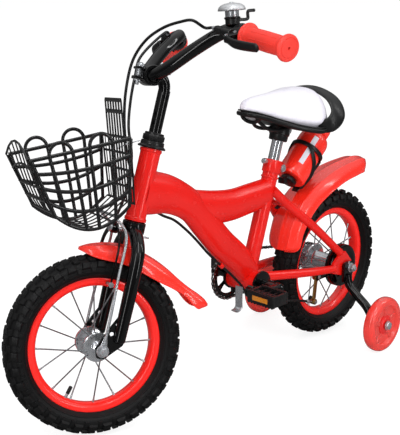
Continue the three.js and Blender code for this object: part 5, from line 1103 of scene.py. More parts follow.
# %% Training wheels and their arms
TRAINER_X, TRAINER_OUT, TRAINER_R, BRACKET_OUT = 6.8, 153.0, 55.5, 63.5
TRAINER_SPOKES = 5
ARM_SHARES = [(0, 0.84), (0.1, 0.64), (0.42, 0.44), (0.75, 0.26), (1, 0)]
wheel_core = moulded("wheel_core", colour(222, 30, 28), colour(196, 20, 22), 0.3, 700, 0.00004, 0.3)
for name, side in SIDES:
    hub_spot = Vector((TRAINER_X, side * TRAINER_OUT, TRAINER_R))
    wheel = bmesh.new()
    wall = [(19.0, 7.2), (19.6, 5.8), (37.6, 4.8), (38.4, 5.6), (39.4, 9.6), (41.2, 11.6), (43.4, 12.0),
            (44.4, 11.2), (45.4, 11.2), (46.6, 11.8), (49.6, 11.2), (52.6, 9.4), (54.6, 6.6), (55.4, 3.0),
            (55.5, 0.0)]
    add_turning(wheel, [(r, -y) for r, y in wall[:-1]] + wall[::-1], hub_spot, LEFT, 72, closed=True)
    for turn in circle(TRAINER_SPOKES):
        ray = ray_at(turn + 0.3)
        for face in (1, -1):
            way = [hub_spot + LEFT * face * 5.2 + ray * s for s in (17, 24, 31, 40)]
            add_tube(wheel, way, [6.0, 4.4, 4.0, 5.4], 14, flat=0.36, hint=Vector((-ray.z, 0, ray.x)))
    core = [(5.7, -9.6), (12.6, -9.6), (14.4, -8.6), (15.4, -7.4), (19.6, -7.2), (19.9, -6.4),
            (19.9, 6.4), (19.6, 7.2), (15.4, 7.4), (14.4, 8.6), (12.6, 9.6), (5.7, 9.6)]
    add_turning(wheel, core, hub_spot, LEFT, 44, closed=True, finish=1)
    piece(f"{name}_training_tyre", wheel, f"{name}_training_wheel",
          [clear_red, wheel_core], (f"{name}_training_wheel",), sharp=50)
    arm = bmesh.new()
    top = Vector((TRAINER_X, side * BRACKET_OUT, WHEEL_R))
    end = Vector((TRAINER_X, side * (TRAINER_OUT - 21), TRAINER_R))
    bend = [Vector((TRAINER_X, top.y + (end.y - top.y) * o, end.z + (top.z - end.z) * u))
            for o, u in ARM_SHARES]
    add_tube(arm, smooth_path(bend, 8), 8.8, 24)
    outline = [(-15, -27), (15, -27), (15, 9), (9, 13.4), (-9, 13.4), (-15, 9)]
    add_plate(arm, [(TRAINER_X + x, WHEEL_R + z) for x, z in outline], 6, side * BRACKET_OUT, 1.0)
    add_block(arm, (17, 3, 12), Vector((TRAINER_X, side * (BRACKET_OUT + 4.5), 128)), soft=1.2)
    for rise in (12, -18):
        rivet = Vector((TRAINER_X, side * (BRACKET_OUT + 3), WHEEL_R + rise))
        add_turning(arm, [(0, -0.2), (3.4, 0), (3.4, 0.7), (0, 0.7)], rivet, LEFT * side, 16, finish=1)
    add_turning(arm, bevelled(0, 10, -7.2, 7.2, 1, 1), end, LEFT, 32)
    out = LEFT * side
    add_turning(arm, pin_profile(5, 0, 36), end, out, 20, finish=1)
    dome = [(5, 33.4), (9.4, 33.4), (9.6, 34.4), (8.4, 34.8), (8.3, 37.2), (7.2, 39.0), (4.0, 40.2),
            (0, 40.4)]
    add_turning(arm, dome, end, out, 28, finish=1)
    piece(f"{name}_training_bracket", arm, "frame", [black_paint, chrome],
          (f"{name}_training_arm",))
print("training wheels", 2 * TRAINER_R, "mm across")

# %% [markdown]
# ## Mudguards
# The guards are red plastic shells, pressed thin. Each follows its wheel and then flares
# away in a tail, with three raised ribs along it and a rolled edge. A grid of
# points in angle and width gives the outer skin, and the same grid, a little smaller, the
# inner one. The ribs are small lifts of the grid, and the rolled edge is a thin tube.

# %% Mudguards
REAR_GUARD = [(20.8, 0.4, 0.3), (21.8, 0.41, 0.6), (24.5, 0.456, 0.84), (36, 0.684, 0.92), (48, 0.874, 0.98),
              (60, 0.969, 1), (72, 1.007, 1), (84, 1.102, 0.97), (96, 1.292, 0.9), (106, 1.558, 0.84),
              (113, 1.824, 0.76), (117.6, 1.95, 0.64), (120, 2.0, 0.45), (121.2, 2.014, 0.2)]
FRONT_GUARD = [(87, 0.38, 0.08), (93, 0.418, 0.42), (101, 0.456, 0.62), (111, 0.494, 0.7),
               (122, 0.494, 0.72), (133, 0.532, 0.74), (143, 0.608, 0.66), (152, 0.74, 0.5),
               (159, 0.96, 0.42), (164.5, 1.24, 0.5), (168, 1.42, 0.5), (170, 1.49, 0.4), (170.8, 1.5, 0.2)]


GUARD_COLUMNS, GUARD_THICK, GUARD_GAP, GUARD_HALF = 60, 2.2, 40, 40
RIB_SHARES, RIB_HIGH, RIB_WIDE_SHARE = (-0.42, 0, 0.42), 1.7, 0.075


def add_guard(shape, centre, rows, drop):
    """A shell round a wheel, from (angle, share of the gap to the tyre, width share) rows."""
    skins = []
    for inset in (0.0, GUARD_THICK):
        skin = []
        for angle, gap, wide in smooth_path(rows, 5):
            line = []
            for j in range(GUARD_COLUMNS + 1):
                across = 2 * j / GUARD_COLUMNS - 1
                bow = (drop * wide + 11 * max(0, gap - 1)) * abs(across) ** 2.4
                ridge = sum(RIB_HIGH * math.exp(-((across - rib) / RIB_WIDE_SHARE) ** 2)
                            for rib in RIB_SHARES)
                reach = (WHEEL_R + GUARD_GAP * gap - bow - inset * (1 - across * across / 2)
                         + ridge * min(1, wide * 1.4) - 1.3)
                out = GUARD_HALF * wide * math.sin(across * math.pi / 2) - inset * across
                line.append(centre + ray_at(math.radians(angle)) * reach + LEFT * out)
            skin.append(line)
        skins.append(skin)
    rings = [outer + inner[::-1] for outer, inner in zip(*skins)]
    add_rings(shape, rings)
    for side in (0, -1):
        add_tube(shape, [(outer[side] + inner[side]) / 2 for outer, inner in zip(*skins)], 1.7, 10)
    add_tube(shape, [(a + b) / 2 for a, b in zip(skins[0][-1], skins[1][-1])], 1.6, 10)


guard = bmesh.new()
add_guard(guard, REAR_AXLE, REAR_GUARD, 27)
bolt = [(0, 0), (3.4, 0), (3.8, 0.8), (3.2, 2.4), (0, 3.0)]
add_turning(guard, bolt, Vector((-65, 0, 352)), Vector((-0.3, 0, 1)), 20, finish=1)
tongue = smooth_path([(163, 0, 296), (150, 0, 300), (136, 0, 303)], 4)
add_tube(guard, tongue, 5.0, 14, flat=0.5, finish=2)
piece("rear_guard_shell", guard, "frame", [red_plastic, zinc, black_plastic],
      ("rear_mudguard",), sharp=60)
guard = bmesh.new()
add_guard(guard, FRONT_AXLE, FRONT_GUARD, 37)
add_block(guard, (19.5, 9.6, 24), steer_at(181), STEER_AHEAD, STEER_UP, 1.2)
piece("front_guard_shell", guard, "steering", [red_plastic], ("front_mudguard",), STEERED, 60)
print("guards", len(REAR_GUARD), "and", len(FRONT_GUARD), "rows")

# %% [markdown]
# ## Saddle
# The saddle has three parts: a soft pad under white vinyl, a black plastic shell under it,
# and a black handle that rises behind. The pad's plan and height come from a table of
# stations, smoothed into 37, and its top is crowned. Each station is a closed ring, so
# the pad is one solid cushion. A line of piping follows the lower edge.

# %% Pad outline
NOSE_X, TAIL_X, SEAT_Z, SADDLE_HALF, SADDLE_HIGH = 268.0, 82.0, 468.0, 68.0, 58.0
SADDLE_SHARES = [(0, 0.12, 0.2, 0.5), (0.05, 0.25, 0.38, 0.46), (0.18, 0.33, 0.56, 0.34),
                 (0.34, 0.42, 0.76, 0.16), (0.5, 0.62, 0.96, -0.02), (0.64, 0.86, 1.12, -0.16),
                 (0.78, 1.0, 1.22, -0.25), (0.9, 0.97, 1.2, -0.25), (0.98, 0.76, 1.04, -0.17),
                 (1, 0.5, 0.88, -0.1)]


stations = [tuple(row) for row in smooth_path(SADDLE_SHARES, 4)]


def pad_spot(row, across, rise, grow=0.0):
    """A spot of the saddle: across from -1 to 1, rise from 0 at the edge to 1 on the crown."""
    along, wide, high, lift = row
    x = NOSE_X + (TAIL_X - NOSE_X) * along
    round_top = max(0.0, 1 - 0.96 * abs(across) ** 2.5) ** 0.5
    z = SEAT_Z + lift * SADDLE_HIGH + rise * high * SADDLE_HIGH * round_top
    return Vector((x, (SADDLE_HALF * wide + grow) * across, z))


def pad_ring(row, inset, over_steps=26, under_steps=10):
    over = [pad_spot(row, 1 - 2 * j / over_steps, 1.0, -inset) for j in range(over_steps + 1)]
    under = [pad_spot(row, 2 * j / under_steps - 1, 0.0, -inset) for j in range(under_steps + 1)]
    return over + under[1:-1]


print("saddle stations", len(stations))

# %% [markdown]
# ## Filling the pad
# The pad is real foam under a tight cover, so it is inflated with Blender's cloth. A fine
# even mesh is pressed outward for twenty frames while its lower edge stays pinned, then it
# is kept. The cover swells between its edges, as a stuffed cover does. The movement is
# held to a few millimetres, so that it stays on its shell.

# %% Pad
CLOTH_FRAMES, PAD_MESH, PAD_PRESSURE, PAD_SWELL = 20, 0.0045, 4.0, 0.006
pad = bmesh.new()
add_rings(pad, [pad_ring(row, 0.8) for row in stations])
pad_piece = piece("saddle_cushion", pad, "saddle", [white_vinyl], ("saddle_pad",), BIKE, 70)


def make_active(made):
    bpy.ops.object.select_all(action="DESELECT")
    bpy.context.view_layer.objects.active = made
    made.select_set(True)


def even_mesh(made, size):
    remesh = made.modifiers.new("even", "REMESH")
    remesh.mode, remesh.voxel_size, remesh.use_smooth_shade = "VOXEL", size, True
    make_active(made)
    bpy.ops.object.modifier_apply(modifier=remesh.name)


def inflate(made, pressure, pinned, cap):
    """Presses a closed mesh outward as cloth; pinned is a test for points that stay."""
    before = [vert.co.copy() for vert in made.data.vertices]
    group = made.vertex_groups.new(name="edge")
    group.add([v.index for v in made.data.vertices if pinned(v.co)], 1.0, "REPLACE")
    cloth = made.modifiers.new("cover", "CLOTH")
    cloth.settings.quality = 6
    cloth.settings.mass = 0.2
    cloth.settings.effector_weights.gravity = 0
    cloth.settings.use_pressure = True
    cloth.settings.uniform_pressure_force = pressure
    cloth.settings.vertex_group_mass = group.name
    cloth.settings.tension_stiffness = cloth.settings.compression_stiffness = 25
    cloth.point_cache.frame_start, cloth.point_cache.frame_end = 1, CLOTH_FRAMES
    for step in range(1, CLOTH_FRAMES + 1):
        scene.frame_set(step)
    make_active(made)
    bpy.ops.object.modifier_apply(modifier=cloth.name)
    scene.frame_set(1)
    most = 0.0
    for vert, start in zip(made.data.vertices, before):
        step = vert.co - start
        most = max(most, step.length)
        if step.length > cap:
            vert.co = start + step.normalized() * cap
    print(made.name, "swelled by", round(most / MM, 1), "mm at most")


def near_edge(spot):
    """True near the pad's underside."""
    local = BIKE.inverted() @ spot
    along = (local.x - NOSE_X) / (TAIL_X - NOSE_X)
    row = min(stations, key=lambda station: abs(station[0] - along))
    return local.z < SEAT_Z + row[3] * SADDLE_HIGH + 3.0


even_mesh(pad_piece, PAD_MESH)
inflate(pad_piece, PAD_PRESSURE, near_edge, PAD_SWELL)
piping = bmesh.new()
hem = [[pad_spot(row, face, 0.0, 0.3) + Vector((0, 0, 1.6)) for row in stations] for face in (1, -1)]
add_tube(piping, hem[0] + hem[1][::-1], 1.4, 10, closed=True)
piece("saddle_piping", piping, "saddle", [black_plastic])
smooth = pad_piece.modifiers.new("smooth", "SUBSURF")
smooth.levels = smooth.render_levels = 1
make_active(pad_piece)
bpy.ops.object.modifier_apply(modifier=smooth.name)
pad_piece.data.shade_smooth()

# %% [markdown]
# ## Shell, handle and clamp
# The black shell follows the pad's lower edge and shows as a band under it. At the nose it
# opens into a round mouth. The handle is a broad flat band: it leaves the shell's sides,
# rises behind the pad and leaves a slot that a hand can use to hold the child up. A clamp
# with a cross bolt grips the chrome post.

# %% Shell, handle and clamp
shell = bmesh.new()


def shell_ring(row, top, low, grow):
    """A closed ring of the shell below the pad, a little wider than its edge."""
    wide = [pad_spot(row, 1 - 2 * j / 16, 0.0, grow) + Vector((0, 0, top)) for j in range(17)]
    deep = [pad_spot(row, 2 * j / 16 - 1, 0.0, grow - 1.5) + Vector((0, 0, low)) for j in range(17)]
    return wide + deep


add_rings(shell, [shell_ring(row, -0.4, -8.6, 2.4) for row in stations])
edge = [pad_spot(row, 1, 0, 2.6) + Vector((0, 0, -4.4)) for row in stations]
other = [pad_spot(row, -1, 0, 2.6) + Vector((0, 0, -4.4)) for row in reversed(stations)]
add_tube(shell, edge + other, 3.9, 12, flat=0.5, hint=Vector((0, 0, 1)), closed=True)
snout, snout_out = Vector((246, 0, 484)), Vector((0.9, 0, -0.42))
snout_up = LEFT.cross(snout_out)


def snout_oval(out, wide, high, size):
    """An oval round the saddle's nose, some way out of it."""
    return [snout + snout_out * out + (LEFT * wide * math.cos(t) + snout_up * high * math.sin(t)) * size
            for t in circle(40)]


for out, size, thick in ((2.4, 1.0, 3.4), (-4.0, 0.94, 5.2), (-11.0, 0.8, 5.0)):
    add_tube(shell, snout_oval(out, 18.0, 10.5, size), thick, 10, closed=True)
vent = [snout_oval(out, 17.0, 9.6, size) for out, size in ((-2.4, 0.94), (-0.6, 1.0), (1.4, 0.62))]
add_rings(shell, vent, finish=2)
TAIL_SHARES = [(-2.4, 0.84, -0.5), (-1.2, 1.1, -0.36), (0, 1.12, 0.06), (0.72, 0.8, 0.64), (1, 0, 1)]
TAIL_BACK, TAIL_RISE, TAIL_LOW = 14.0, 41.0, 476.0
half_tail = [Vector((TAIL_X - TAIL_BACK * x, SADDLE_HALF * y, TAIL_LOW + TAIL_RISE * z))
             for x, y, z in TAIL_SHARES]
whole = smooth_path(half_tail + [on_side(spot, -1) for spot in half_tail[-2::-1]], 8)
heights = [11.0 + 7.0 * math.sin(math.pi * i / (len(whole) - 1)) ** 0.6 for i in range(len(whole))]
add_tube(shell, whole, heights, 20, flat=0.3, hint=Vector((0, 0, 1)))
post_top = 286.0
grip_ring = [(11.4, -17), (16.4, -17), (17.6, -15.6), (18.2, -6), (19.8, -5), (20.0, 6.6), (18.4, 8.4),
             (11.4, 8.6)]
add_turning(shell, grip_ring, seat_at(post_top), SEAT_UP, 40, closed=True)
pillar = seat_at(post_top + 3)
add_block(shell, (54, 20, 26), Vector((pillar.x - 9, 0, 459)), soft=4)
for y in (13, -13):
    rail = [(236, y * 0.5, 478), (214, y, 460), (180, y, 452), (140, y * 1.6, 455), (112, y * 2.0, 460)]
    add_tube(shell, smooth_path(rail, 6), 3.4, 12)
for side in (1, -1):
    nut = [(0, 0), (6.0, 0), (6.4, 0.8), (6.4, 4.6), (5.6, 5.4), (0, 5.6)]
    add_turning(shell, nut, Vector((pillar.x - 6, side * 14, 448)), LEFT * side, 6, finish=1)
add_turning(shell, pin_profile(2.8, -18, 18), Vector((pillar.x - 6, 0, 448)), LEFT, 16, finish=1)
piece("saddle_shell", shell, "saddle", [black_plastic, zinc, grey_plastic],
      ("saddle_base",), BIKE, 40)
post = bmesh.new()
add_tube(post, [seat_at(up) for up in (121, 150, 250, 268)], 10.9, 36)
post_end = [(0, 0), (10.9, 0), (11.1, 0.5), (11.1, 1.6), (10.7, 2.2), (10.7, 12), (9.6, 15), (9.4, 17.6),
            (0, 17.6)]
add_turning(post, post_end, seat_at(268), SEAT_UP, 36)
piece("seat_post_tube", post, "saddle", [chrome], ("seat_post",), BIKE, 30)
print("saddle", round(NOSE_X - TAIL_X), "mm long")

# %% [markdown]
# ## Bottle and cage
# A red bottle leans behind the seat tube in a black cage. The bottle is turned, with a
# round shoulder, a screw cap with ribs and a spout; the white stripe is a raised printed
# band on its side. Its foot stands on a small black seat. Two straps rise on each side and
# meet in a hoop round it.

# %% Bottle
TILT = math.radians(41)
BOTTLE_FOOT, BOTTLE_UP = Vector((125, 0, 348)), Vector((-math.cos(TILT), 0, math.sin(TILT)))
BOTTLE_OUT = Vector((BOTTLE_UP.z, 0, -BOTTLE_UP.x))
bottle = bmesh.new()
body = [(0, 1.6), (18, 1.2), (24, 0.4), (27.4, 1.0), (29.4, 3.4), (30, 7), (30, 60), (29.7, 62),
        (29.2, 63.4), (29.2, 66.6), (29.7, 68), (30, 70), (30, 92), (29.2, 98), (26.6, 103.4),
        (22, 107.4), (18, 109), (17.2, 112), (17.2, 114)]
add_turning(bottle, body, BOTTLE_FOOT, BOTTLE_UP, 64)
cap = [(0, 112), (19.2, 112), (20.0, 113), (20.0, 128), (19.0, 130.4), (15.0, 132.2), (8.0, 133),
       (6.9, 134.6), (6.9, 142), (6.2, 144), (3.0, 144.8), (0, 144.8)]
add_turning(bottle, cap, BOTTLE_FOOT, BOTTLE_UP, 48, finish=1)
for turn in circle(30):
    ray = LEFT * math.cos(turn) + BOTTLE_OUT * math.sin(turn)
    add_tube(bottle, [BOTTLE_FOOT + BOTTLE_UP * s + ray * 19.7 for s in (114, 127)], 0.5, 6, finish=1)
stripe = []
for s in (26, 40, 58, 76, 92):
    ring = []
    for out in (30.25, 29.2):
        angles = [0.62 + 0.042 * j for j in range(9)]
        for turn in (angles if out > 30 else angles[::-1]):
            ray = LEFT * math.cos(turn) + BOTTLE_OUT * math.sin(turn)
            ring.append(BOTTLE_FOOT + BOTTLE_UP * s + ray * out)
    stripe.append(ring)
add_rings(bottle, stripe, finish=2)
piece("bottle_body", bottle, "frame", [red_plastic, red_plastic, white_vinyl],
      ("bottle",), BIKE, 40)

# %% Cage
cage = bmesh.new()
cup = [(0, -10), (13, -10), (15.4, -9), (16.4, -7), (16.4, -2.4), (15.6, -1), (0, -0.6)]
add_turning(cage, cup, BOTTLE_FOOT, BOTTLE_UP, 56)
add_turning(cage, [(30.5, 63), (33.4, 63), (34, 63.8), (34, 70.4), (33.4, 71), (30.5, 71)],
            BOTTLE_FOOT, BOTTLE_UP, 64, closed=True)
for side in (1, -1):
    for turn_low, turn_high in ((2.9, 2.35), (2.75, 0.7)):
        spots = []
        for k in range(13):
            share = k / 12
            turn = side * (turn_low + (turn_high - turn_low) * share ** 1.4)
            ray = LEFT * math.sin(turn) + BOTTLE_OUT * math.cos(turn)
            spots.append(BOTTLE_FOOT + BOTTLE_UP * (2 + 64 * share) + ray * 32.2)
        add_tube(cage, spots, 4.4, 12, flat=0.34, hint=LEFT.cross(BOTTLE_UP))
spine = [BOTTLE_FOOT + BOTTLE_UP * s - BOTTLE_OUT * 32.3 for s in (-6, 10, 40, 72)]
add_tube(cage, spine, 7.6, 16, flat=0.24, hint=LEFT)
add_block(cage, (10, 16, 12), Vector((146, 0, 348)), soft=1.4)
piece("cage_straps", cage, "frame", [black_plastic], ("bottle_cage",), BIKE, 40)
print("bottle stands", round(BOTTLE_FOOT.z), "mm above the ground")

# %% [markdown]
# ## Stem and handlebar
# The stem is a long black quill that comes out of the head tube and carries a short collar
# round the bar, closed in front by one bolt. The bar is one bent tube: it leaves the
# collar level, then sweeps up, back and out to the grips. Its route is a list of shares of
# the place where a grip starts, so both halves are the same.

# %% Stem and handlebar
BAR_UP = 452
BAR_CENTRE = steer_at(BAR_UP, 30)
GRIP_START, GRIP_END = Vector((-109, 150, 51)), Vector((-131, 244, 28))
BAR_SHARES = [(0, 0, 0), (0, 0.15, 0), (0.14, 0.28, 0.2), (0.48, 0.48, 0.72), (0.8, 0.62, 1.12),
              (0.9, 0.71, 1.21)]


def bar_spot(share, side):
    return BAR_CENTRE + on_side(Vector(share) * GRIP_START, side)


half = {side: [bar_spot(share, side) for share in BAR_SHARES] for _, side in SIDES}
for _, side in SIDES:
    half[side] += [BAR_CENTRE + on_side(GRIP_START, side),
                   BAR_CENTRE + on_side(GRIP_END.lerp(GRIP_START, 0.08), side)]
bar = bmesh.new()
add_tube(bar, smooth_path(half[-1][:0:-1] + half[1], 10), 10.8, 28)
piece("bar_tube", bar, "steering", [black_paint], ("handlebar",), STEERED)

stem = bmesh.new()
add_tube(stem, [steer_at(up) for up in (336, 352, 400, 434)], 10.3, 32)
bend = smooth_path([steer_at(418), steer_at(440, 1.5), steer_at(451, 9), steer_at(BAR_UP, 20),
                    steer_at(BAR_UP, 29)], 6)
add_tube(stem, bend, [10.3 + 3.4 * i / len(bend) for i in range(len(bend))], 28, flat=0.86)
collar = [(11.2, -19), (12.0, -20), (16.0, -20), (17.0, -18.6), (17.0, 18.6), (16.0, 20), (12.0, 20),
          (11.2, 19)]
add_turning(stem, collar, BAR_CENTRE, LEFT, 40, closed=True)
for rise, high in ((7.4, 4.4), (-8.4, 5.4)):
    add_block(stem, (17, 30, high), steer_at(BAR_UP + rise, 48), STEER_AHEAD, STEER_UP, 1.4)
bolt = [(0, -20.0), (2.6, -20.0), (3.2, -19.2), (3.2, -14.6), (7.4, -14.2), (7.6, -13.4), (7.2, -11.6),
        (5.6, -11.0), (5.6, 8.6), (6.6, 9.4), (6.8, 12.4), (5.4, 15.4), (2.6, 16.8), (0, 17.0)]
add_turning(stem, bolt, steer_at(BAR_UP, 49.5), STEER_UP, 28, finish=1)
quill_bolt = [(0, 0), (4.0, 0), (4.6, 1.0), (4.6, 4.0), (0, 5.2)]
add_turning(stem, quill_bolt, steer_at(460.6), STEER_UP, 20, finish=1)
piece("stem_quill", stem, "steering", [black_paint, zinc], ("stem",), STEERED)
print("bar bends", len(BAR_SHARES), "times on each side")

# %% [markdown]
# ## Grips
# The grips are soft red rubber, smooth to the hand. A wide disc guards the hand at each
# end; the outer one is a rounded cap with a shallow ring and a small hole in its middle.
# Each grip is one turned profile, a little waisted, with fine mould lines in its finish.

# %% Grips
def grip_frame(side):
    """The place where a grip starts, its direction, ahead and up."""
    out = on_side(GRIP_END - GRIP_START, side).normalized()
    fore = Vector((1, 0, -0.25))
    fore = (fore - out * fore.dot(out)).normalized()
    return BAR_CENTRE + on_side(GRIP_START, side), out, fore, fore.cross(out) * side


GRIP_LONG = (GRIP_END - GRIP_START).length
for name, side in SIDES:
    root, out, fore, up = grip_frame(side)
    profile = [(11.2, 0.4), (19.4, 0.4), (20.8, 1.4), (21.0, 3.0), (20.0, 4.6), (17.2, 6.2), (15.6, 9.0),
               (15.0, 14.0)]
    profile += [(15.0 + 0.5 * math.sin(math.pi * share), 14 + (GRIP_LONG - 30) * share)
                for share in (0.25, 0.5, 0.75)]
    profile += [(15.0, GRIP_LONG - 16), (15.4, GRIP_LONG - 12), (17.4, GRIP_LONG - 8.6),
                (20.0, GRIP_LONG - 7.4), (21.0, GRIP_LONG - 5.4), (20.9, GRIP_LONG - 3.2),
                (19.6, GRIP_LONG - 1.2), (16.6, GRIP_LONG - 0.3), (15.8, GRIP_LONG - 1.0),
                (15.0, GRIP_LONG - 1.1), (14.2, GRIP_LONG - 0.3), (9.0, GRIP_LONG + 0.1),
                (2.6, GRIP_LONG + 0.1), (2.0, GRIP_LONG - 0.6), (1.9, GRIP_LONG - 4.0),
                (0, GRIP_LONG - 4.2)]
    grip = bmesh.new()
    add_turning(grip, profile, root, out, 56)
    for k in range(8):
        turn = math.pi / 4 * (k + 0.5)
        ray = fore * math.cos(turn) + up * math.sin(turn)
        way = [root + out * (18 + s * (GRIP_LONG - 36)) + ray * 14.7 for s in (0, 0.04, 0.5, 0.96, 1)]
        add_tube(grip, way, [0.2, 1.0, 1.4, 1.0, 0.2], 8, hint=ray.cross(out))
    piece(f"{name}_grip_rubber", grip, "steering", [grip_rubber], (f"{name}_grip",),
          STEERED, 30)
print("grips", round(GRIP_LONG), "mm long")

# %% [markdown]
# ## Brake levers
# A black plastic bracket clamps round the bar just inboard of each grip. It holds the
# lever's pin and, on its inner end, a threaded barrel where the cable comes in. The lever
# is a thin blade, bent away from the bar and curled at the tip, wide where the fingers lie.

# %% Brackets and levers
LEVER_REACH, LEVER_LIFT = 31, 5.0
GUIDE_FORE, GUIDE_UP, GUIDE_LONG = LEVER_REACH * 0.653, 9.0, 42.0
for name, side in SIDES:
    root, out, fore, up = grip_frame(side)
    clamp = root - out * 11
    hold = clamp + up * LEVER_LIFT
    bracket = bmesh.new()
    ring = [(11.2, -10.4), (14.0, -10.8), (16.2, -9.2), (17.0, -5), (17.0, 5), (16.2, 9.0), (14.0, 10.6),
            (11.2, 10.4)]
    add_turning(bracket, ring, clamp, out, 36, closed=True)
    for level in (1, -1):
        arm = [hold + fore * a + up * level * b for a, b in ((12, 2.6), (22, 4.4), (30, 4.6))]
        add_tube(bracket, arm, [9.6, 9.2, 6.4], 20, flat=0.24, hint=out)
    add_tube(bracket, [hold + fore * s - out * 2 for s in (11, 16, 24)], [9.6, 8.6, 6.0], 20, flat=0.6,
             hint=out)
    rivet = [(0, 0), (4.0, 0), (4.2, 0.6), (3.8, 2.0), (0, 2.6)]
    pin = [(0, -7.0), (2.4, -7.0), (2.6, -6.2), (2.6, 6.2), (2.4, 7.0), (0, 7.2)]
    screw = [(0, 0), (2.0, 0), (2.2, 0.6), (2.2, 7.4), (1.8, 8.2), (0, 8.4)]
    add_turning(bracket, rivet, hold + fore * 15 + up * 4.4, up, 20, finish=1)
    add_turning(bracket, pin, hold + fore * LEVER_REACH, up, 18, finish=1)
    add_turning(bracket, screw, clamp + fore * 13 - up * 8.0, -up, 14)
    guide = clamp + fore * GUIDE_FORE + up * GUIDE_UP
    barrel = [(0, 0), (6.4, 0), (7.4, 1.4), (7.4, 17.0), (5.2, 19.0), (5.2, 23.4), (6.2, 24.2)]
    for k in range(6):
        barrel += [(6.2, 24.6 + 2 * k), (5.5, 25.2 + 2 * k), (5.5, 25.8 + 2 * k), (6.2, 26.4 + 2 * k)]
    barrel += [(5.2, GUIDE_LONG - 1.4), (3.2, GUIDE_LONG), (0, GUIDE_LONG)]
    add_turning(bracket, barrel, guide, -out, 24)
    web = [clamp + fore * 10 + up * 2 - out * 3, clamp + fore * 15 + up * 6 - out * 8, guide - out * 10]
    add_tube(bracket, web, [9.0, 8.4, 6.4], 18, flat=0.8, hint=out)
    piece(f"{name}_lever_clamp", bracket, "steering", [black_plastic, zinc],
          (f"{name}_lever_bracket",), STEERED, 30)
    lever = bmesh.new()
    pin = hold + fore * LEVER_REACH
    spots = [(-2, 0), (12, 4.4), (26, 7.4), (44, 6.2), (60, 3.2), (70, 1.2), (76, 0.4)]
    way = smooth_path([pin + out * (a + 1) + fore * b for a, b in spots], 5)
    widths = [6.6 + 1.2 * math.sin(3.4 * i / len(way)) for i in range(len(way))]
    widths[-1], widths[-2], widths[-3] = 3.0, 4.8, 5.6
    add_tube(lever, way, widths, 18, flat=0.52, hint=up)
    add_turning(lever, bevelled(0, 5.2, -5.3, 5.3, 0.6, 0.6), pin, up, 20)
    piece(f"{name}_lever_blade", lever, f"{name}_brake_lever", [black_plastic],
          (f"{name}_brake_lever",), STEERED, 40)
print("levers reach", LEVER_REACH, "mm ahead of the bar")

# %% [markdown]
# ## Bell
# The bell is the small flick kind: a bright dome on a black base that sits on the bar,
# with a striker of bent wire that is pulled back and let go.

# %% Bell
root, out, fore, up = grip_frame(1)
BELL_FOOT = root - out * 36 + Vector((0, 0, 10))
sky_up = Vector((0, 0, 1))
bell = bmesh.new()
base = [(0, 0.4), (10.4, 0.4), (11.4, 1.4), (11.4, 9.0), (12.4, 9.8), (12.8, 10.6), (12.8, 12.0),
        (12.0, 12.8), (0, 12.9)]
add_turning(bell, base, BELL_FOOT, sky_up, 36)
drum = [(0, 12.6), (10.6, 12.6), (10.9, 13.4), (10.9, 21.6), (10.2, 22.6), (0, 22.6)]
add_turning(bell, drum, BELL_FOOT, sky_up, 36, finish=1)
dome = [(20.4, 23.8), (21.0, 22.6), (21.8, 22.6), (22.0, 23.4), (21.6, 25.0), (20.2, 28.2), (17.0, 31.0),
        (11.6, 33.2), (5.4, 34.2), (0, 34.3)]
add_turning(bell, dome, BELL_FOOT, sky_up, 48, finish=2)
crest = [(0, 33.6), (3.4, 33.6), (3.6, 34.4), (2.8, 35.4), (0, 35.8)]
add_turning(bell, crest, BELL_FOOT, sky_up, 20, finish=1)
piece("bell_dome", bell, "steering", [black_plastic, zinc, pale_steel], ("bell",), STEERED, 30)
striker = bmesh.new()
hinge = BELL_FOOT + Vector((-13.9, 0, 7.8))
add_turning(striker, bevelled(0, 2.9, -2.6, 2.6, 0.3, 0.6), hinge, LEFT, 16)
way = [hinge + Vector(s) for s in ((0, 0, 0), (-10, 0, 0), (-12.6, 0, 1.4), (-13, 0, 5), (-13, 0, 10),
                                   (-14.4, 0, 12.6), (-18, 0, 13), (-24, 0, 13))]
add_tube(striker, smooth_path(way, 5), 2.6, 14)
knob = [(0, -1.9), (1.9, -1.6), (2.7, -0.6), (2.7, 0.8), (1.9, 1.7), (0, 2.0)]
add_turning(striker, knob, hinge + Vector((-24, 0, 13)), Vector((-1, 0, 0)), 16)
piece("bell_flicker", striker, "bell_striker", [black_plastic], ("bell_striker",),
      STEERED, 30)
print("bell", round(2 * max(out for out, _ in dome)), "mm across")

# %% [markdown]
# ## Front brake and cables
# Two flat steel arms cross on one bolt through the fork crown and hold a black shoe on
# each side of the rim. The cables are black sheaths. The front one hangs free from its
# lever to the brake. The rear one makes a loop to the head tube, then runs under the main
# tube on clips. Because the bar turns and the frame doesn't, the loop is blended: each
# point follows the bar near its lever and the frame near the head tube. The routes repeat
# the points of the CAD cables, in shares of the wheel's radius.

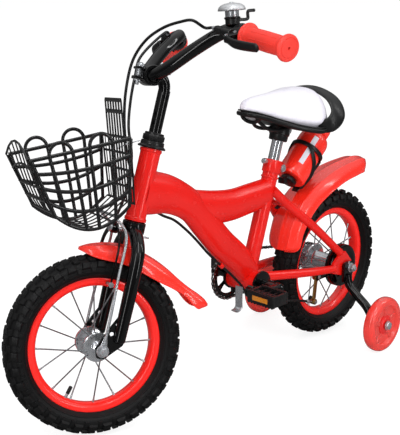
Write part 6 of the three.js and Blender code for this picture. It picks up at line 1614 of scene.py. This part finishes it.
# %% Caliper arms
CALIPER_UP, CALIPER_AHEAD, SHOE_DROP, SHOE_OUT = 196, 30, 89.5, 17.2
for name, side in SIDES:
    layer = 0 if side > 0 else 5.6
    spots = [(0, 0), (-1, 9), (-5, 18.7), (-15, 30), (-30.7, 37), (-60, 37.6), (-92, 37)]
    arm = bmesh.new()
    ahead = CALIPER_AHEAD + layer
    way = smooth_path([steer_at(CALIPER_UP + rise, ahead, side * left) for rise, left in spots], 5)
    sizes = [4.4 - i / len(way) for i in range(len(way))]
    add_tube(arm, way, sizes, 16, flat=0.54, hint=Vector((0, 0.5, 1)))
    horn = [steer_at(CALIPER_UP + rise, ahead, -side * rise) for rise in (0, 7, 13)]
    add_tube(arm, horn, [4.2, 3.4, 3.2], 14, flat=0.6)
    eye = steer_at(CALIPER_UP, ahead - 2.5)
    add_turning(arm, bevelled(4.1, 8.9, 0, 5, 0.5, 0.5), eye, STEER_AHEAD, 28, closed=True)
    shoe = steer_at(CALIPER_UP - SHOE_DROP, ahead, side * SHOE_OUT)
    add_block(arm, (7.6, 4.8, 4.8), shoe + LEFT * side * 2.2, LEFT, STEER_UP, 1.2, finish=1)
    add_tube(arm, [shoe + LEFT * side * s for s in (4, 23)], 2.4, 14, finish=2)
    nut = [(0, 0), (4.6, 0), (4.8, 0.6), (4.8, 3.4), (0, 3.8)]
    add_turning(arm, nut, shoe + LEFT * side * 21, LEFT * side, 6, finish=2)
    piece(f"{name}_brake_arm_steel", arm, f"{name}_caliper", [black_paint, black_plastic, zinc],
          (f"{name}_caliper_arm",), STEERED, 35)
print("caliper arms cross at", CALIPER_UP, "mm up the steering axis")

# %% Cables
CABLE_RADIUS, CABLE_LEAD = 2.4, 18
LOOP_WAY = [(3.24, 0.559, 4.46), (3.258, 0.408, 4.434), (3.28, 0.184, 4.359), (3.33, -0.02, 4.22),
            (3.37, -0.18, 3.999), (3.447, -0.211, 3.686), (3.49, -0.197, 3.368), (3.48, -0.18, 3.041),
            (3.46, -0.165, 2.9)]
UNDER_WAY = [(3.158, -0.145, 2.336), (3.026, -0.092, 2.23), (2.875, -0.053, 2.151),
             (2.681, -0.026, 1.987), (2.533, 0, 1.832), (2.368, 0.013, 1.655), (2.178, 0.04, 1.47),
             (1.993, 0.066, 1.299), (1.842, 0.099, 1.132), (1.73, 0.145, 0.961), (1.546, 0.197, 0.882),
             (1.283, 0.243, 0.816), (0.987, 0.27, 0.75)]
FRONT_WAY = [(3.164, -0.461, 4.026), (3.263, -0.382, 3.842), (3.382, -0.276, 3.553), (3.461, -0.17, 3.289),
             (3.493, -0.05, 2.993), (3.559, -0.03, 2.73), (3.632, -0.06, 2.513)]
HEAD_SPOT = Vector((3.388, -0.148, 2.658)) * WHEEL_R
HEAD_TURN = Vector((-0.3, 0, -0.95))


def wheel_spots(way):
    return [Vector(spot) * WHEEL_R for spot in way]


def guide_spots(side):
    """The cable's first points, out of the barrel of a lever's bracket."""
    root, out, fore, up = grip_frame(side)
    mouth = root - out * (11 + GUIDE_LONG) + fore * GUIDE_FORE + up * GUIDE_UP
    return [mouth + out * 1.0, mouth - out * CABLE_LEAD / 2, mouth - out * CABLE_LEAD + fore * CABLE_LEAD / 3]


def sheath(shape, path, steps=8):
    """A cable's sheath with a metal ferrule at each end."""
    way = smooth_path(path, steps)
    add_tube(shape, way, CABLE_RADIUS, 16)
    for end, inward in ((way[0], way[2] - way[0]), (way[-1], way[-3] - way[-1])):
        cuff = [(2.5, 0.2), (3.2, 0.2), (3.3, 1.0), (3.3, 7.0), (2.9, 8.0), (2.5, 8.2)]
        add_turning(shape, cuff, end, inward.normalized(), 18, closed=True, finish=1)
    return way


front = bmesh.new()
front_way = sheath(front, guide_spots(-1) + wheel_spots(FRONT_WAY) + [steer_at(211, 30, -12)])
front_cable = piece("front_cable_sheath", front, "steering", [cable_sheath, zinc],
                    ("front_cable",), STEERED)
loop = bmesh.new()
head_spot = HEAD_SPOT - HEAD_TURN * CABLE_LEAD
loop_path = [TURN @ spot for spot in guide_spots(1)] + wheel_spots(LOOP_WAY) + [head_spot, HEAD_SPOT]
loop_way = sheath(loop, loop_path)
rear_loop = piece("rear_cable_loop_sheath", loop, None, [cable_sheath, zinc],
                  ("rear_cable_loop",))
BIKE @ loop_path[1]
BIKE @ loop_path[-2]
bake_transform(rear_loop)

under = bmesh.new()
last = Vector(UNDER_WAY[-1]) * WHEEL_R
stop = CABLE_ANCHOR + (last - CABLE_ANCHOR).normalized() * 17.5
under_path = [HEAD_SPOT + HEAD_TURN * 0.6, HEAD_SPOT + HEAD_TURN * CABLE_LEAD]
under_path += wheel_spots(UNDER_WAY) + [stop]
sheath(under, under_path)
add_tube(under, [stop, CABLE_ANCHOR.lerp(stop, 0.3)], 0.8, 8, finish=1)
for index in (2, 8, 13):
    spot, after = under_path[index], under_path[index + 1]
    add_turning(under, [(2.3, 0), (4.2, 0.4), (4.6, 1.4), (4.6, 7.6), (4.2, 8.6), (2.3, 9)], spot,
                after - spot, 18, closed=True, finish=2)
piece("rear_cable_sheath", under, "frame", [cable_sheath, zinc, red_paint], ("rear_cable",))


def free_cord(way, place):
    """The length of a cable's way from its first point to its last, in metres."""
    path = [place @ spot for spot in way]
    long = sum((after - spot).length for spot, after in zip(path, path[1:]))
    return round(long, 3)


print("free cables", free_cord(front_way, STEERED), free_cord(loop_way, BIKE), "m")
print("cable under the tube", round(sum((b - a).length for a, b in zip(under_path, under_path[1:]))), "mm")

# %% [markdown]
# ## The basket's walls
# The basket is moulded from black plastic. Its sides are a lattice of flat bars with
# rounded edges, leaning out a little and bellied at the foot. Two hoops stand on each
# side, and their legs run on to the floor as upright bars. One function gives any spot
# of a side wall from two shares, so every bar is a line of shares.

# %% Side walls
BASKET_REAR, BASKET_FRONT, REAR_TOP, FRONT_TOP = 556.0, 722.0, 493.0, 474.0
FLOOR_Z, FLOOR_REAR, FLOOR_FRONT, LOW_Z = 352.0, 566.0, 690.0, 384.0
LOW_Y, TOP_Y, WALL = 66.0, 78.0, 3.0
HOOP_SHARES, HOOP = (0.31, 0.7), 18.6
BAR_HINT = Vector((0, 0, 1))


def wall_spot(along, up, side=0):
    """A spot of a side wall, by its share along the basket and its share up."""
    dip = 4 * along * (1 - along)
    low_z = LOW_Z - (LOW_Z - FLOOR_Z) * dip
    top_z = REAR_TOP + (FRONT_TOP - REAR_TOP) * along
    low_x = FLOOR_REAR + (FLOOR_FRONT - FLOOR_REAR) * along
    x = low_x + (BASKET_REAR + (BASKET_FRONT - BASKET_REAR) * along - low_x) * up
    z = low_z + (top_z - low_z) * up
    lean = LOW_Y + WALL / 2 + (TOP_Y - LOW_Y) * (z - FLOOR_Z) / (REAR_TOP - FLOOR_Z)
    return Vector((x, side * lean, z))


def add_bar(shape, path, wide=2.7, hint=BAR_HINT, flat=0.58):
    add_tube(shape, path, wide, 14, flat=flat, hint=hint)


for name, side in SIDES:
    wall = bmesh.new()
    for up, wide in ((0.02, 2.7), (0.25, 3.1), (0.5, 3.1), (0.75, 3.1), (0.985, 3.1)):
        add_bar(wall, [wall_spot(0.012 + 0.976 * k / 16, up, side) for k in range(17)], wide)
    legs = []
    for share in HOOP_SHARES:
        spot = wall_spot(share, 1.0, side)
        reach = HOOP / (BASKET_FRONT - BASKET_REAR)
        legs += [share - reach, share + reach]
        half_hoop = []
        for k in range(17):
            turn = math.pi * k / 16
            half_hoop.append(spot + Vector((-math.cos(turn) * HOOP, 0, math.sin(turn) * HOOP - 2.4)))
        hoop = [wall_spot(share - reach, 0.95, side)] + half_hoop + [wall_spot(share + reach, 0.95, side)]
        add_bar(wall, hoop, 3.0, Vector((-1, 0, 0.2)), 0.58)
    for along in [0.016] + legs + [0.984]:
        add_bar(wall, [wall_spot(along, 0.01 + 0.97 * k / 10, side) for k in range(11)], 3.0,
                Vector((1, 0, 0)))
    piece(f"basket_wall_{name}", wall, "steering", [basket_coat],
          (f"basket_{name}",), STEERED, 50)
print("hoops stand", HOOP, "mm above each wall")

# %% [markdown]
# ## Floor, front and back
# Seven thin ribs run along the floor, turn up at the front in a round corner and end in a
# curved crest. Flat bars tie them at the same heights as the bars of the sides. The back
# is a flat panel of upright slats with a tall, wide tab in the middle, where the real
# basket has a sticker; the tab is left bare here.

# %% Floor and front
RIBS = 7
INNER_Y = LOW_Y - 2.2
ribs = bmesh.new()


def rib_path(share):
    """One rib, at a share from -1 to 1 across the basket."""
    path = [wall_spot(k / 4, 0) for k in range(5)]
    path[0].x = BASKET_REAR + WALL + 2.2
    for spot in path:
        spot.y, spot.z = share * INNER_Y, spot.z + 3.4
    middle_spot, top_spot = wall_spot(1, 0.5), wall_spot(1, 1)
    wide = TOP_Y - LOW_Y
    crest = 26 * (1 - share * share)
    path.append(Vector((middle_spot.x + 1.6, share * (INNER_Y + wide / 2), middle_spot.z)))
    path.append(Vector((top_spot.x + 1.6, share * (INNER_Y + wide), top_spot.z + crest)))
    return path


paths = [smooth_path(rib_path(2 * k / (RIBS - 1) - 1), 6) for k in range(RIBS)]
for path in paths:
    add_tube(ribs, path, 1.5, 10, flat=0.8)
for spot in (0, 6, 12, 18, 24, 27, 30, 33, 36):
    add_tube(ribs, [path[spot] for path in paths], 1.6 if spot < 24 else 1.9, 10, hint=Vector((0, 0, 1)))
piece("basket_ribs", ribs, "steering", [basket_coat], ("basket_floor",), STEERED, 50)

# %% Back panel with its tab
TAB_HALF, TAB_TOP, TAB_SLATS = 43.0, 553.0, 7
panel = bmesh.new()
X_BACK = BASKET_REAR + 1.5
LOW_HALF = LOW_Y + (TOP_Y - LOW_Y) * (LOW_Z - FLOOR_Z) / (REAR_TOP - FLOOR_Z) - 1.4


def back_spot(y, z):
    return Vector((X_BACK, y, z))


def half_at(z):
    return LOW_HALF + (TOP_Y - 1.4 - LOW_HALF) * (z - LOW_Z) / (REAR_TOP - LOW_Z)


for z, wide in ((LOW_Z + 2.2, 2.2), (411, 2.2), (438, 2.2), (465, 2.2), (REAR_TOP - 2.4, 2.4)):
    add_bar(panel, [back_spot(s * (half_at(z) - 1.2), z) for s in (-1, -0.5, 0, 0.5, 1)], wide)
for z in (TAB_TOP - 3.6, TAB_TOP - 22):
    add_bar(panel, [back_spot(s * (TAB_HALF - 2.4), z) for s in (-1, 0, 1)], 3.4, flat=0.44)
for k in range(TAB_SLATS):
    y = (TAB_HALF - 2) * (2 * k / (TAB_SLATS - 1) - 1)
    top = TAB_TOP - 1.6 - (2.2 if k in (0, TAB_SLATS - 1) else 0)
    add_bar(panel, [back_spot(y, LOW_Z + 1), back_spot(y, 440), back_spot(y, top)], 2.0, LEFT, 0.74)
for side in (1, -1):
    add_bar(panel, [back_spot(side * (half_at(z) - 2), z) for z in (LOW_Z + 1, 420, 460, REAR_TOP - 1)],
            2.2, LEFT, 0.66)
    add_bar(panel, [back_spot(side * half_at(z) * 0.79, z) for z in (LOW_Z + 1, 440, REAR_TOP - 2)],
            1.5, LEFT)
piece("basket_back_panel", panel, "steering", [basket_coat], ("basket_back",), STEERED, 50)

# %% [markdown]
# ## The rack under the basket
# Two plated rods carry the basket. Each has a flattened eye on the front axle, rises beside
# the fork, bends in and hooks under the floor, where a cross rod joins the two. A thin wire
# ties the basket's back to the headset.

# %% Rack
rack = bmesh.new()
UNDER = wall_spot(0.14, 0)
ROD_RADIUS, ROD_OUT = 2.4, 53.3
ends = []
for _, side in SIDES:
    eye = FRONT_AXLE + LEFT * (side * ROD_OUT - 1.5)
    add_turning(rack, bevelled(5.4, 10.4, 0, 3, 0.6, 0.5), eye, LEFT, 36, closed=True)
    start = steer_at(11.5, AXLE_AHEAD, side * (ROD_OUT + 1.0))
    hook_y = side * (ROD_OUT - 15)
    spots = [start, start + STEER_UP * 48, steer_at(120, AXLE_AHEAD, side * (ROD_OUT - 4)),
             steer_at(193, AXLE_AHEAD, hook_y), Vector((UNDER.x, hook_y, UNDER.z - 2.6))]
    add_tube(rack, smooth_path(spots, 8), ROD_RADIUS, 16)
    pressed = [steer_at(up, AXLE_AHEAD, side * (ROD_OUT + more))
               for up, more in ((8, 0), (16, 0.6), (26, 1.0))]
    add_tube(rack, pressed, [6.0, 4.4, 2.4], 16, flat=0.3, hint=STEER_AHEAD)
    ends.append(spots[-1])
add_tube(rack, ends, ROD_RADIUS, 16, hint=STEER_AHEAD)
add_tube(rack, [Vector((X_BACK, 0, 470)), Vector((540, 0, 476)), steer_at(345, 22)], 1.1, 10)
piece("basket_rods", rack, "steering", [zinc], ("basket_rack",), STEERED, 40)
print("rack hooks", round(UNDER.z), "mm above the ground")
